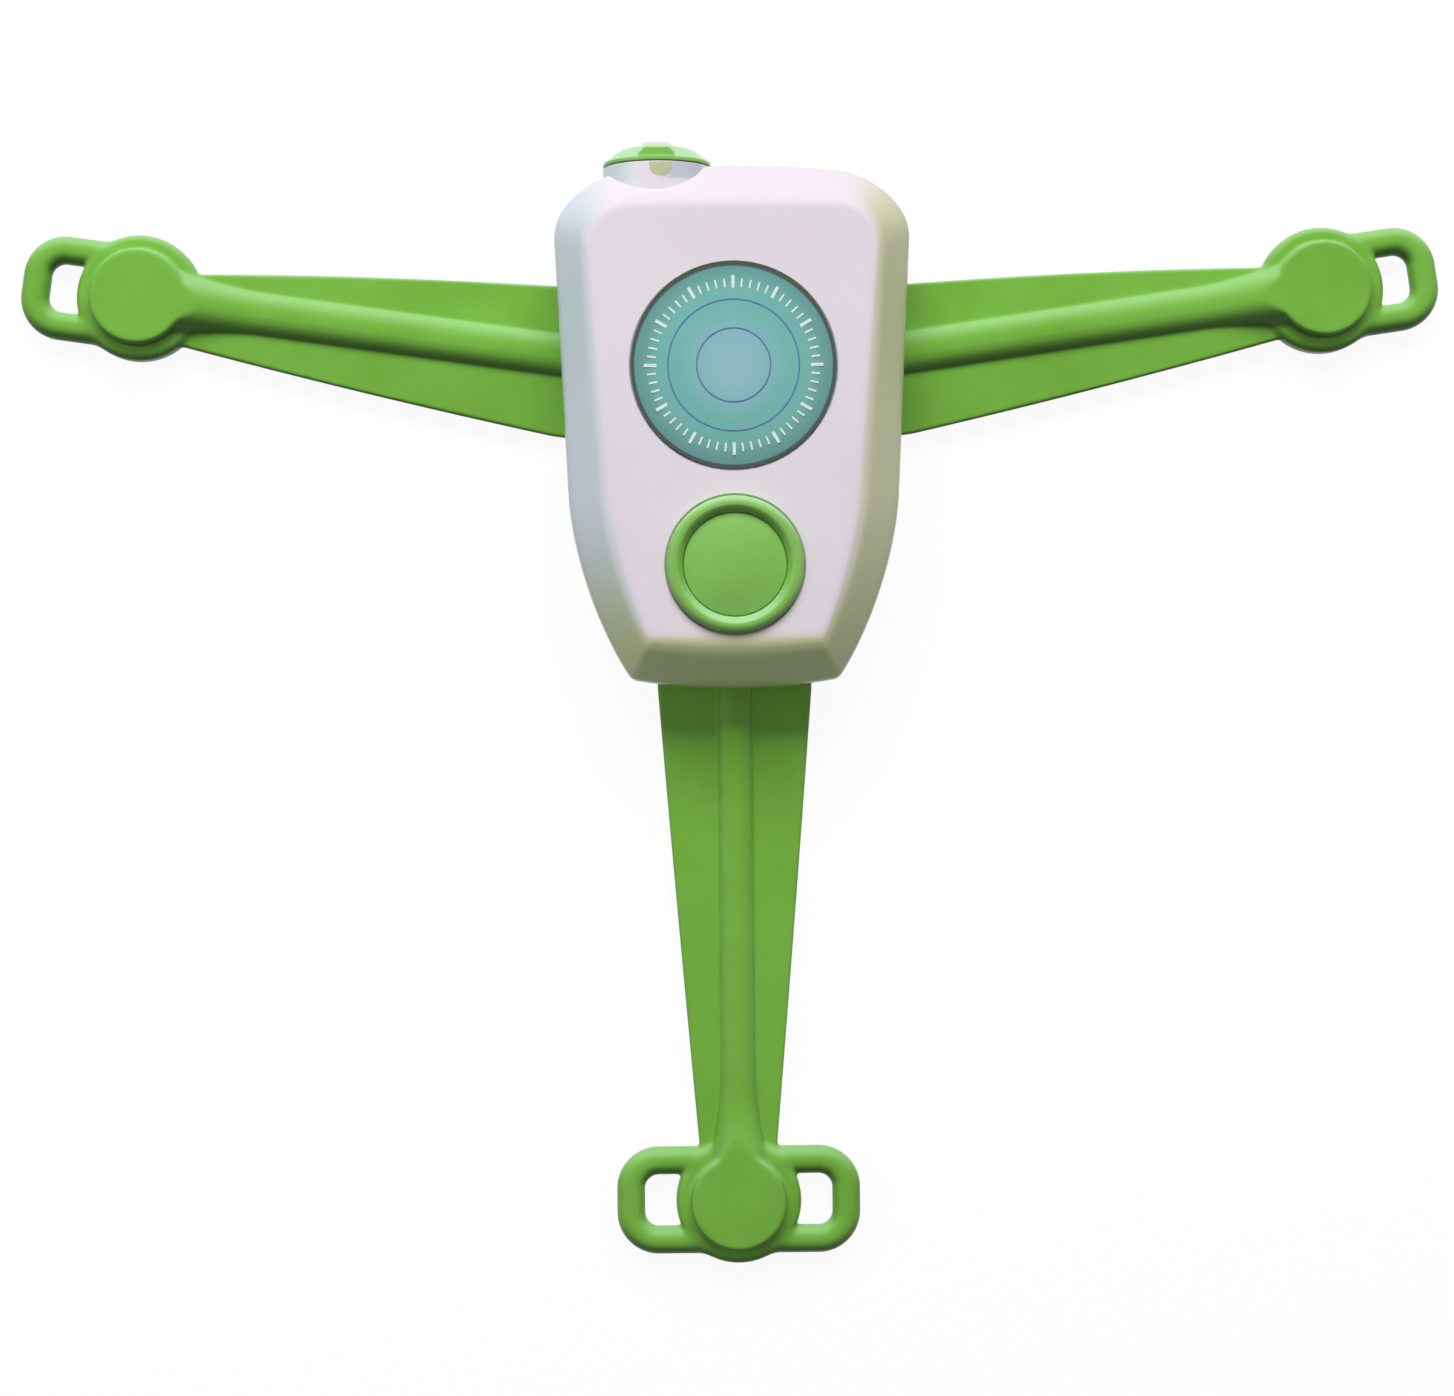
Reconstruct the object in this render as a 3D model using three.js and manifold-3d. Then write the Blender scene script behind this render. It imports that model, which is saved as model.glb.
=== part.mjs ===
// Wearable heart recorder: a shield-shaped housing with an event button, a round battery neck and
// three silicone electrode arms, lying on its back.
//
// Millimetres. X runs to the viewer's right and Y up the face, Z stands out of it. The origin is the
// centre of the flat rear face.

import * as THREE from 'three';
import { mergeVertices } from 'three/addons/utils/BufferGeometryUtils.js';
import Module from 'manifold-3d';

const wasm = await Module();
wasm.setup();

// Clearances
const seatGap = 0.3;
const slideGap = 0.15;
const overrun = 1;
const weld = 0.4;

// Housing
const housingHalfWidth = 31.3;
const housingHalfHeight = 46;
const housingDepth = 22;
const housingWall = 2.2;
const faceWall = 2;
const wallDraft = 0.3;
const bevelHeight = 8;
const bevelSideWidth = 6.1;
const bevelTopWidth = 7.3;
const bevelBottomWidth = 7.5;
const skirtWall = 1;

// Rear cover and its sealing ring
const rearThickness = 1.6;
const rearEdgeInset = 0.3;
const rearEdgeRound = 1.4;
const sealThickness = 0.6;
const sealWidth = 1.05;

// Screws and the posts that they run through
const postRadius = 2.8;
const upperPostInset = 6.1;
const upperPostShare = 0.717;
const lowerPostInset = 6.86;
const lowerPostShare = -0.739;
const screwRadius = 1;
const screwHeadRadius = 2;
const screwHeadHeight = 1.4;
const screwRecessRadius = 0.8;
const screwRecessDepth = 0.8;
const screwTop = 15;
const counterboreDepth = 2;

// Battery neck, tube and cell, along Y
const neckInset = 18.2;
const neckZ = 10.4;
const neckRadius = 9.55;
const neckLength = 8;
const neckChamfer = 0.5;
const cellRadius = 7.25;
const nubRadius = 2.75;
const nubHeight = 1.3;
const tubeWall = 0.9;
const tubeEndWall = 1;
const springHeight = 2.4;
const springWire = 0.35;
const springTurns = 3.5;
const springWideRadius = 5.4;
const springNarrowRadius = 2.6;
const contactThickness = 0.4;
const contactRadius = 6;
const saddleThickness = 1.6;
const saddleDepth = 5;
const saddleTopInset = 19;
const saddleEndInset = 8.6;

// Battery cap
const capPlugDepth = 4.6;
const capDomeHeight = 3.4;
const capGripHeight = 4.2;
const capGripArch = 2.1;
const capGripShoulder = 1.3;
const capGripBaseWidth = 6.4;
const capGripTopWidth = 4.2;
const capGripEndInset = 0.15;
const capSealRadius = 0.55;
const capGrooveDepth = 1.3;
const capContactThickness = 0.5;
const capContactRadius = 5.6;
const capRivetRadius = 1.4;
const capRivetLength = 2;

// Label dome on the flat of the face
const labelRadiusShare = 1.633;
const labelPlaceShare = 0.2565;
const labelRecess = 0.5;
const labelEdge = 0.5;
const labelCrown = 0.9;

// Event button and its ring
const buttonPlaceShare = -0.6373;
const buttonGap = 0.35;
const buttonCatch = 0.5;
const buttonTravel = 0.8;
const buttonTopAbove = 1.1;
const buttonDish = 0.35;
const buttonFlangeThickness = 1.1;
const buttonStemRadius = 3;
const ringRadiusShare = 1.098;
const ringWidth = 2.9;
const ringCrestAbove = 1.7;
const ringSleeveStep = 1.8;
const ringSleeveDepth = 1.2;
const ringSeatDepth = 0.7;

// Main board and what stands on it
const boardBottom = 9.8;
const boardThickness = 1.2;
const boardInset = 3;
const switchWidth = 6.2;
const switchHeight = 3.4;
const plungerRadius = 1.7;
const plungerAbove = 0.9;
const plungerDepth = 1.6;
const chipHeight = 1.2;
const controllerWidth = 12;
const memoryWidth = 8;
const memoryLength = 6;
const ecgChipWidth = 7;
const terminalLength = 5;
const terminalWidth = 4;
const terminalHeight = 3;
const terminalInset = 15.8;

// Silicone arms. Upper and lower name the two edges of a side arm.
const sideArmShare = 0.2989;
const sideArmTilt = 8.2;
const sideArmLength = 76.2;
const lowerArmLength = 91.7;
const webThickness = 2;
const webEdge = 0.4;
const sideWebUpperRoot = 12.5;
const sideWebUpperTip = 5.3;
const sideWebUpperBulge = 0.6;
const sideWebLowerRoot = 14.4;
const sideWebLowerTip = 7.4;
const sideWebLowerBulge = 0.4;
const lowerWebRoot = 13.8;
const lowerWebTip = 6.75;
const lowerWebBulge = 0.1;
const webTipGap = 7.5;
const ridgeRadius = 3.05;
const tongueReach = 2.5;
const tongueHeight = 4.6;
const hingeDistance = 6.5;
const jointGap = 0.3;
const leadRadius = 0.8;
const leadZ = 3.9;
const leadSetback = 0.9;

// Electrode heads, their loops and snap sockets
const headRadius = 11.2;
const headBaseHeight = 5.2;
const headRound = 1;
const headTopRadius = 8.5;
const headHeight = 8;
const loopRadius = 2.4;
const loopZ = 2.6;
const loopReach = 21.7;
const loopHalfHeight = 9.6;
const loopBend = 4.4;
const pocketRadius = 5.3;
const pocketDepth = 5.2;
const snapFlangeThickness = 0.9;
const snapBodyRadius = 3.4;
const snapBodyTop = 4.5;
const snapBoreRadius = 2.05;
const snapBoreTop = 3.3;
const snapGrooveRadius = 2.75;
const snapGrooveLow = 1.2;
const snapGrooveHigh = 2;
const snapWire = 0.24;
const snapOpening = 50;

// Facets
const outlineSteps = [3, 5, 2, 5, 2, 3];
const roundFacets = 24;
const innerFacets = 14;
const smallFacets = 10;
const ballFacets = [16, 10];
const sealFacets = 6;
const springFacets = 5;
const springSteps = 8;
const ridgeFacets = 6;
const webSteps = 4;
const leadFacets = 8;
const tailSteps = 11;
const loopFacets = 8;
const loopSteps = 15;
const gripSteps = 6;

// The right half of an outline, from its top centre to its bottom centre. Each stretch is a Bezier
// curve: its control points and its end, as shares of the half width and the half height.
const bodyOutlineShares = [
  [[0, 1]],
  [[0.38, 1], [0.62, 0.978]],
  [[0.77, 0.961], [1.01, 0.859], [1, 0.717]],
  [[0.965, 0.22], [0.93, -0.276]],
  [[0.901, -0.522], [0.748, -0.793], [0.601, -0.946]],
  [[0.581, -0.967], [0.543, -0.97]],
  [[0.288, -1], [0, -1]],
];
const plateauOutlineShares = [
  [[0, 1]],
  [[0.4, 1], [0.694, 0.996]],
  [[0.893, 0.99], [1, 0.92], [1, 0.79]],
  [[0.929, 0.223], [0.859, -0.342]],
  [[0.829, -0.544], [0.687, -0.855], [0.597, -0.974]],
  [[0.587, -0.985], [0.571, -0.9855]],
  [[0.278, -1], [0, -1]],
];

// The bevel's section: how far in from the body outline to the plateau, and how far up.
const bevelShares = [
  [0, -0.16], [0.02, 0.03], [0.08, 0.16], [0.3, 0.39], [0.6, 0.685], [0.9, 0.94], [0.97, 0.985], [1.05, 1],
];

// The cable ridge near its head: distance from the head's centre as a share of the head radius, then
// width and height as shares of the ridge radius. It rises until it runs flush into the head's top.
const ridgeFlareShares = [
  [1.95, 1, 1], [1.4, 1.14, 1.1], [1, 1.47, 1.34], [0.76, 1.72, 1.55], [0.4, 2, 1.57],
];

// A rounded edge is drawn as two facets that meet at this share of its radius from either face.
const roundShare = 0.3;

// The rear cover's edge: share of its rounding inwards, then share of the plate's thickness upwards.
const rearEdgeShares = [[1, 0], [0.3, 0.3], [0, 0.8], [0, 1]];

// The label's crown, the button's hollow and the cap's dome: share of the radius, then of the height.
const labelCrownShares = [[1, 0], [0.97, 0.3], [0.8, 0.65], [0.45, 0.92], [0, 1]];
const buttonDishShares = [[0.85, 0], [0.5, 0.8], [0, 1]];
const capDomeShares = [[1, 0], [1, 0.1], [0.97, 0.24], [0.89, 0.4], [0.7, 0.79], [0.45, 0.93], [0, 1]];

// The ring's round top: share of the way across from its outer side to its bore, then of its height.
const ringCrestShares = [[0, 0.25], [0.145, 0.75], [0.483, 1], [0.845, 0.8], [1, 0.4]];

// The battery cell's flat end as a share of its radius.
const cellShoulderShare = 0.95;

// The tails' routes: share of the way from the arm to the terminal, distance in from the wall, and
// share of the climb from the arm's lead to the terminal's wire.
const tailRoutes = {
  left: [[0.049, 7.4, 0.02], [0.19, 7.5, 0.07], [0.5, 6.9, 0.14], [0.755, 7.2, 0.3], [0.938, 8.4, 0.75]],
  right: [[0.775, 8.7, 0.27], [0.875, 9.7, 0.75]],
  lower: [[0.557, 0, 0.16], [0.671, 0, 0.68]],
};

// Finishes
const white = { color: 0xe6dee6, roughness: 0.35, metalness: 0 };
const green = { color: 0x6fa83f, roughness: 0.35, metalness: 0 };
const silicone = { color: 0x69a43a, roughness: 0.55, metalness: 0 };
const teal = { color: 0x62b8a8, roughness: 0.2, metalness: 0 };
const sealRubber = { color: 0x3a3d40, roughness: 0.8, metalness: 0 };
const steel = { color: 0xb9bcc0, roughness: 0.3, metalness: 1 };
const brass = { color: 0xc9a85a, roughness: 0.35, metalness: 1 };
const laminate = { color: 0x1f5a3a, roughness: 0.6, metalness: 0 };
const moulding = { color: 0x1d1e20, roughness: 0.5, metalness: 0 };
const cellWrap = { color: 0x2f3c56, roughness: 0.4, metalness: 0.2 };
const ivory = { color: 0xe9e2d2, roughness: 0.5, metalness: 0 };
const leadSheath = { color: 0xc9ccd0, roughness: 0.6, metalness: 0 };

// Levels that follow from the sizes above
const rimZ = rearThickness + seatGap;
const floorZ = rearThickness + sealThickness;
const webTop = floorZ + webThickness;
const webMid = floorZ + webThickness / 2;
const boardTop = boardBottom + boardThickness;
const plungerTop = boardTop + switchHeight + plungerAbove;
const tubeBore = cellRadius + seatGap;
const tubeRadius = tubeBore + tubeWall;
const bevelFoot = housingDepth - bevelHeight;
const postBore = screwRadius + seatGap;
const neckX = neckInset - housingHalfWidth;
const sideArmY = sideArmShare * housingHalfHeight;

// The flat of the face, and the label, button and ring that share it. Their radii grow with how far
// the flat reaches in both directions.
const faceHalfWidth = housingHalfWidth - bevelSideWidth;
const faceHalfHeight = housingHalfHeight - (bevelTopWidth + bevelBottomWidth) / 2;
const faceMiddle = (bevelBottomWidth - bevelTopWidth) / 2;
const faceReach = faceHalfWidth * faceHalfHeight / (faceHalfHeight + 2 * faceHalfWidth);
const labelRadius = labelRadiusShare * faceReach;
const labelY = faceMiddle + labelPlaceShare * faceHalfHeight;
const buttonY = faceMiddle + buttonPlaceShare * faceHalfHeight;
const ringOuterRadius = ringRadiusShare * faceReach;
const ringInnerRadius = ringOuterRadius - ringWidth;
const ringSleeveRadius = ringOuterRadius - ringSleeveStep;
const buttonRadius = ringInnerRadius - buttonGap;
const flangeRadius = ringInnerRadius + buttonCatch;

// Solids

// Triangles that point outwards, without the ones that a pole or a seam has closed up.
function tidyTriangles(positions, index) {
  const triangles = [];
  let volume = 0;
  const corners = [new THREE.Vector3(), new THREE.Vector3(), new THREE.Vector3()];
  for (let i = 0; i < index.length; i += 3) {
    const triple = [index[i], index[i + 1], index[i + 2]];
    if (new Set(triple).size < 3) continue;
    triple.forEach((vertex, k) => corners[k].fromArray(positions, vertex * 3));
    volume += corners[0].dot(corners[1].cross(corners[2]));
    triangles.push(triple);
  }
  const outward = volume > 0 ? triangles : triangles.map(([a, b, c]) => [a, c, b]);
  return Uint32Array.from(outward.flat());
}

// A closed geometry as a solid that can be joined and cut.
function solid(geometry) {
  const bare = geometry.clone();
  bare.deleteAttribute('normal');
  bare.deleteAttribute('uv');
  const merged = mergeVertices(bare);
  const vertProperties = merged.attributes.position.array;
  const triVerts = tidyTriangles(vertProperties, merged.index.array);
  return new wasm.Manifold(new wasm.Mesh({ numProp: 3, vertProperties, triVerts }));
}

function join(parts) {
  return parts.reduce((whole, part) => whole.add(part));
}

function cut(whole, tools) {
  return tools.reduce((rest, tool) => rest.subtract(tool), whole);
}

// A profile of [radius, height] pairs turned about Z.
function turned(profile, facets = roundFacets) {
  const points = profile.map(([radius, height]) => new THREE.Vector2(radius, height));
  return solid(new THREE.LatheGeometry(points, facets).rotateX(Math.PI / 2));
}

// The same about an axis along Y through the battery neck.
function turnedOnNeck(profile, facets = roundFacets) {
  const points = profile.map(([radius, height]) => new THREE.Vector2(radius, height));
  return solid(new THREE.LatheGeometry(points, facets).translate(neckX, 0, neckZ));
}

function rod(radius, low, high, facets = roundFacets) {
  return turned([[0, low], [radius, low], [radius, high], [0, high]], facets);
}

function rodOnNeck(radius, low, high, facets = roundFacets) {
  return turnedOnNeck([[0, low], [radius, low], [radius, high], [0, high]], facets);
}

function block(low, high) {
  const size = high.map((value, i) => value - low[i]);
  const middle = high.map((value, i) => (value + low[i]) / 2);
  return solid(new THREE.BoxGeometry(...size).translate(...middle));
}

// A flat outline standing between two levels.
function prism(outline, low, high) {
  const shape = new THREE.Shape(outline);
  const geometry = new THREE.ExtrudeGeometry(shape, { depth: high - low, bevelEnabled: false });
  return solid(geometry.translate(0, 0, low));
}

// A skin through rings of as many points each, closed at both ends.
function loft(rings) {
  const count = rings[0].length;
  const positions = rings.flat().flatMap((point) => point.toArray());
  const index = [];
  for (let ring = 0; ring + 1 < rings.length; ring += 1) {
    for (let i = 0; i < count; i += 1) {
      const a = ring * count + i;
      const b = ring * count + (i + 1) % count;
      index.push(a, b, b + count, a, b + count, a + count);
    }
  }
  [0, rings.length - 1].forEach((ring, end) => {
    const hub = positions.length / 3;
    const middle = rings[ring].reduce((sum, point) => sum.add(point), new THREE.Vector3());
    positions.push(...middle.divideScalar(count).toArray());
    for (let i = 0; i < count; i += 1) {
      const rim = [ring * count + i, ring * count + (i + 1) % count];
      index.push(hub, rim[1 - end], rim[end]);
    }
  });
  const geometry = new THREE.BufferGeometry();
  geometry.setAttribute('position', new THREE.Float32BufferAttribute(positions, 3));
  geometry.setIndex(index);
  return solid(geometry);
}

// A round wire or tube along a curve.
function tube(curve, radius, steps, facets) {
  const section = new THREE.Shape();
  for (let i = 0; i < facets; i += 1) {
    const angle = i / facets * 2 * Math.PI;
    const corner = [radius * Math.cos(angle), radius * Math.sin(angle)];
    if (i === 0) section.moveTo(...corner);
    else section.lineTo(...corner);
  }
  section.closePath();
  return new THREE.ExtrudeGeometry(section, {
    steps, extrudePath: curve, bevelEnabled: false, curveSegments: 1,
  });
}

const recorder = new THREE.Group();

function addPart(name, body, finish) {
  const { vertProperties, triVerts } = body.getMesh();
  const geometry = new THREE.BufferGeometry();
  geometry.setAttribute('position', new THREE.BufferAttribute(vertProperties, 3));
  geometry.setIndex(new THREE.BufferAttribute(triVerts, 1));
  geometry.computeVertexNormals();
  const mesh = new THREE.Mesh(geometry, new THREE.MeshStandardMaterial(finish));
  mesh.name = name;
  recorder.add(mesh);
}

// Outlines of the housing

function outline(shares, halfWidth, top, bottom) {
  const middle = (top + bottom) / 2;
  const halfHeight = (top - bottom) / 2;
  const place = ([x, y]) => new THREE.Vector2(x * halfWidth, middle + y * halfHeight);
  const right = [];
  let start = place(shares[0][0]);
  shares.slice(1).forEach((stretch, i) => {
    const points = stretch.map(place);
    const curve = points.length === 2
      ? new THREE.QuadraticBezierCurve(start, ...points)
      : new THREE.CubicBezierCurve(start, ...points);
    right.push(...curve.getPoints(outlineSteps[i]).slice(0, -1));
    start = points.at(-1);
  });
  const left = right.slice(1).reverse().map((point) => new THREE.Vector2(-point.x, point.y));
  return [...right, start, ...left];
}

function bodyOutline(inset) {
  const halfHeight = housingHalfHeight - inset;
  return outline(bodyOutlineShares, housingHalfWidth - inset, halfHeight, -halfHeight);
}

function plateauOutline(inset) {
  return outline(
    plateauOutlineShares,
    housingHalfWidth - bevelSideWidth - inset,
    housingHalfHeight - bevelTopWidth - inset,
    -(housingHalfHeight - bevelBottomWidth - inset),
  );
}

function ring(points, z) {
  return points.map((point) => new THREE.Vector3(point.x, point.y, z));
}

function bevelRing(inward, upward) {
  const foot = bodyOutline(0);
  const edge = plateauOutline(0);
  const points = foot.map((point, i) => point.clone().lerp(edge[i], inward));
  return ring(points, bevelFoot + upward * bevelHeight);
}

// Where a height on the face meets the right side of the body outline.
function wallHalfWidthAt(y) {
  const points = bodyOutline(0);
  const upper = points.findLastIndex((point) => point.x > 0 && point.y >= y);
  const [a, b] = [points[upper], points[upper + 1]];
  return a.x + (b.x - a.x) * (y - a.y) / (b.y - a.y);
}

// Places of the battery parts. The tube ends short of the button's flange, and the cell fills what
// lies between the spring and the cap's contact.
const capFaceY = housingHalfHeight + seatGap;
const plugEndY = capFaceY - capPlugDepth;
const capContactY = plugEndY - seatGap - capContactThickness;
const cellTopY = capContactY - seatGap;
const tubeEndY = buttonY + flangeRadius + seatGap;
const tubeFloorY = tubeEndY + tubeEndWall;
const contactY = tubeFloorY + seatGap;
const springBottomY = contactY + contactThickness + seatGap;
const cellBottomY = springBottomY + springHeight + seatGap;
const neckEndY = housingHalfHeight - neckLength;
const plugRadius = tubeBore - seatGap;

const upperPostX = housingHalfWidth - upperPostInset;
const upperPostY = upperPostShare * housingHalfHeight;
const lowerPostY = lowerPostShare * housingHalfHeight;
const lowerPostX = wallHalfWidthAt(lowerPostY) - lowerPostInset;
const posts = [
  { name: 'cover_screw_1', x: -upperPostX, y: upperPostY, throughBoard: false },
  { name: 'cover_screw_2', x: upperPostX, y: upperPostY, throughBoard: true },
  { name: 'cover_screw_3', x: -lowerPostX, y: lowerPostY, throughBoard: true },
  { name: 'cover_screw_4', x: lowerPostX, y: lowerPostY, throughBoard: true },
];

// Arms. Local X runs out along the arm from the housing's wall, local Y across it.
const sideAngle = sideArmTilt / 180 * Math.PI;
const sideWall = wallHalfWidthAt(sideArmY);
const upperEdge = { root: sideWebUpperRoot, tip: sideWebUpperTip, bulge: sideWebUpperBulge };
const lowerEdge = { root: sideWebLowerRoot, tip: sideWebLowerTip, bulge: sideWebLowerBulge };
const evenEdge = { root: lowerWebRoot, tip: lowerWebTip, bulge: lowerWebBulge };
const arms = [
  {
    name: 'left', x: -sideWall, y: sideArmY, angle: Math.PI - sideAngle, length: sideArmLength,
    edges: [lowerEdge, upperEdge], loopAngles: [0],
  },
  {
    name: 'right', x: sideWall, y: sideArmY, angle: sideAngle, length: sideArmLength,
    edges: [upperEdge, lowerEdge], loopAngles: [0],
  },
  {
    name: 'lower', x: 0, y: -housingHalfHeight, angle: -Math.PI / 2, length: lowerArmLength,
    edges: [evenEdge, evenEdge], loopAngles: [Math.PI / 2, -Math.PI / 2],
  },
];

function armMatrix(arm) {
  return new THREE.Matrix4().makeRotationZ(arm.angle).setPosition(arm.x, arm.y, 0);
}

function placed(body, arm) {
  return body.transform(armMatrix(arm).elements);
}

// The web's outline in the arm's own frame, widened all round by a clearance.
function webOutline(arm, grow) {
  const inner = -(housingWall + tongueReach) * 2;
  const reach = arm.length - webTipGap;
  const side = (edge, sign) => {
    const points = [new THREE.Vector2(inner, sign * (edge.root + grow))];
    for (let step = 0; step <= webSteps; step += 1) {
      const t = step / webSteps;
      const half = THREE.MathUtils.lerp(edge.root, edge.tip, t) + edge.bulge * 4 * t * (1 - t);
      points.push(new THREE.Vector2(t * reach, sign * (half + grow)));
    }
    return points;
  };
  const [plus, minus] = arm.edges;
  return [...side(plus, 1), ...side(minus, -1).reverse()];
}

function web(arm) {
  const shape = new THREE.Shape(webOutline(arm, 0));
  const geometry = new THREE.ExtrudeGeometry(shape, {
    depth: webThickness - 2 * webEdge,
    bevelThickness: webEdge,
    bevelSize: webEdge,
    bevelOffset: -webEdge,
    bevelSegments: 1,
  });
  return solid(geometry.translate(0, 0, floorZ + webEdge));
}

// The round ridge that carries the lead, flaring into the electrode head.
function ridge(arm, grow) {
  const inner = -(housingWall + tongueReach) * 2;
  const stations = [
    [inner, 1, 1],
    ...ridgeFlareShares.map(([back, wide, high]) => [arm.length - back * headRadius, wide, high]),
  ];
  const rings = stations.map(([x, wide, high]) => {
    const halfWidth = ridgeRadius * wide + grow;
    const height = ridgeRadius * high + grow;
    const points = [];
    for (let i = 0; i <= ridgeFacets; i += 1) {
      const angle = i / ridgeFacets * Math.PI;
      points.push(new THREE.Vector3(x, halfWidth * Math.cos(angle), webMid + height * Math.sin(angle)));
    }
    const sill = webMid - webThickness / 2 + weld;
    return [new THREE.Vector3(x, halfWidth, sill), ...points, new THREE.Vector3(x, -halfWidth, sill)];
  });
  return loft(rings);
}

const headCorner = headRound * roundShare;
const headProfile = [
  [0, pocketDepth],
  [pocketRadius, pocketDepth],
  [pocketRadius, 0],
  [headRadius - headRound, 0],
  [headRadius - headCorner, headCorner],
  [headRadius, headRound],
  [headRadius, headBaseHeight - headRound],
  [headRadius - headCorner, headBaseHeight - headCorner],
  [headRadius - headRound, headBaseHeight],
  [headTopRadius, headBaseHeight],
  [headTopRadius, headHeight - headRound],
  [headTopRadius - headCorner, headHeight - headCorner],
  [headTopRadius - headRound, headHeight],
  [0, headHeight],
];

// A round-section loop standing out of the head, open in the middle.
function loop(arm, angle) {
  const reach = loopReach - loopRadius;
  const half = loopHalfHeight - loopRadius;
  const heel = headRadius - headRound - loopRadius;
  const path = new THREE.CurvePath();
  const points = [
    [heel, half], [reach - loopBend, half], [reach, half - loopBend],
    [reach, loopBend - half], [reach - loopBend, -half], [heel, -half],
  ].map(([x, y]) => new THREE.Vector3(x, y, loopZ));
  const corners = [[reach, half], [reach, -half]].map(([x, y]) => new THREE.Vector3(x, y, loopZ));
  path.add(new THREE.LineCurve3(points[0], points[1]));
  path.add(new THREE.QuadraticBezierCurve3(points[1], corners[0], points[2]));
  path.add(new THREE.LineCurve3(points[2], points[3]));
  path.add(new THREE.QuadraticBezierCurve3(points[3], corners[1], points[4]));
  path.add(new THREE.LineCurve3(points[4], points[5]));
  const geometry = tube(path, loopRadius, loopSteps, loopFacets);
  return solid(geometry.rotateZ(angle).translate(arm.length, 0, 0));
}

function alongArm(radius, low, high, z, facets) {
  return rod(radius, low, high, facets).rotate([0, 90, 0]).translate([0, 0, z]);
}

// The lead's bore, from well inside the housing to a distance along the arm.
function leadBore(end) {
  return alongArm(leadRadius + seatGap, -(housingWall + tongueReach) * 3, end, leadZ, leadFacets);
}

function wholeArm(arm) {
  const head = turned(headProfile).translate([arm.length, 0, 0]);
  const loops = arm.loopAngles.map((angle) => loop(arm, angle));
  const pocket = rod(pocketRadius, -overrun, pocketDepth).translate([arm.length, 0, 0]);
  const body = cut(join([web(arm), ridge(arm, 0), head, ...loops]), [pocket]);
  return cut(body, [leadBore(arm.length - pocketRadius + weld)]);
}

// The flex line lies a little way out from the wall. The moving side ends in a barrel and a ball
// about that line, and the fixed side is hollowed to match.
function flexTools(arm) {
  const wide = headRadius * 2;
  const far = block(
    [hingeDistance, -wide, -overrun],
    [arm.length + loopReach * 2, wide, headHeight + overrun],
  );
  const barrel = (radius) => rod(radius, -wide, wide, smallFacets)
    .rotate([90, 0, 0]).translate([hingeDistance, 0, webMid]);
  const ball = (radius) => solid(new THREE.SphereGeometry(radius, ...ballFacets)
    .rotateX(Math.PI / 2).translate(hingeDistance, 0, webMid));
  return { far, barrel, ball };
}

function movingArm(arm) {
  const { far, barrel, ball } = flexTools(arm);
  return wholeArm(arm).intersect(join([far, barrel(webThickness / 2), ball(ridgeRadius)]));
}

// The clamped tongue behind the wall and the short stub outside it.
function armRoot(arm) {
  const { far, barrel, ball } = flexTools(arm);
  const whole = wholeArm(arm);
  const stub = cut(whole, [far, barrel(webThickness / 2 + jointGap), ball(ridgeRadius + jointGap)]);
  const inside = housingWall + seatGap;
  const hollow = prism(bodyOutline(inside + tongueReach), -overrun, housingDepth);
  const band = prism(bodyOutline(inside), floorZ, floorZ + tongueHeight).subtract(hollow);
  const tongue = placed(prism(webOutline(arm, 0), floorZ, floorZ + tongueHeight), arm).intersect(band);
  const bored = tongue.subtract(placed(leadBore(hingeDistance), arm));
  return cut(placed(stub, arm), [hollow]).add(bored);
}

// What an arm leaves open in the front cover's rim.
function armNotch(arm) {
  return placed(join([
    prism(webOutline(arm, seatGap), -overrun, webTop + seatGap),
    ridge(arm, seatGap),
  ]), arm);
}

// Front cover

function bevelledShell() {
  const outside = loft([
    ring(bodyOutline(wallDraft), rimZ),
    ...bevelShares.map(([inward, upward]) => bevelRing(inward, upward)),
  ]);
  const slope = Math.hypot(bevelHeight, bevelSideWidth) / bevelHeight;
  const innerFoot = bevelFoot + (housingWall - faceWall * slope) * bevelHeight / bevelSideWidth;
  const innerInset = faceWall * slope - faceWall * bevelSideWidth / bevelHeight;
  const inside = loft([
    ring(bodyOutline(housingWall), rimZ - overrun),
    ring(bodyOutline(housingWall), innerFoot),
    ring(plateauOutline(innerInset), housingDepth - faceWall),
  ]);
  return { outside, inside };
}

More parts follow.
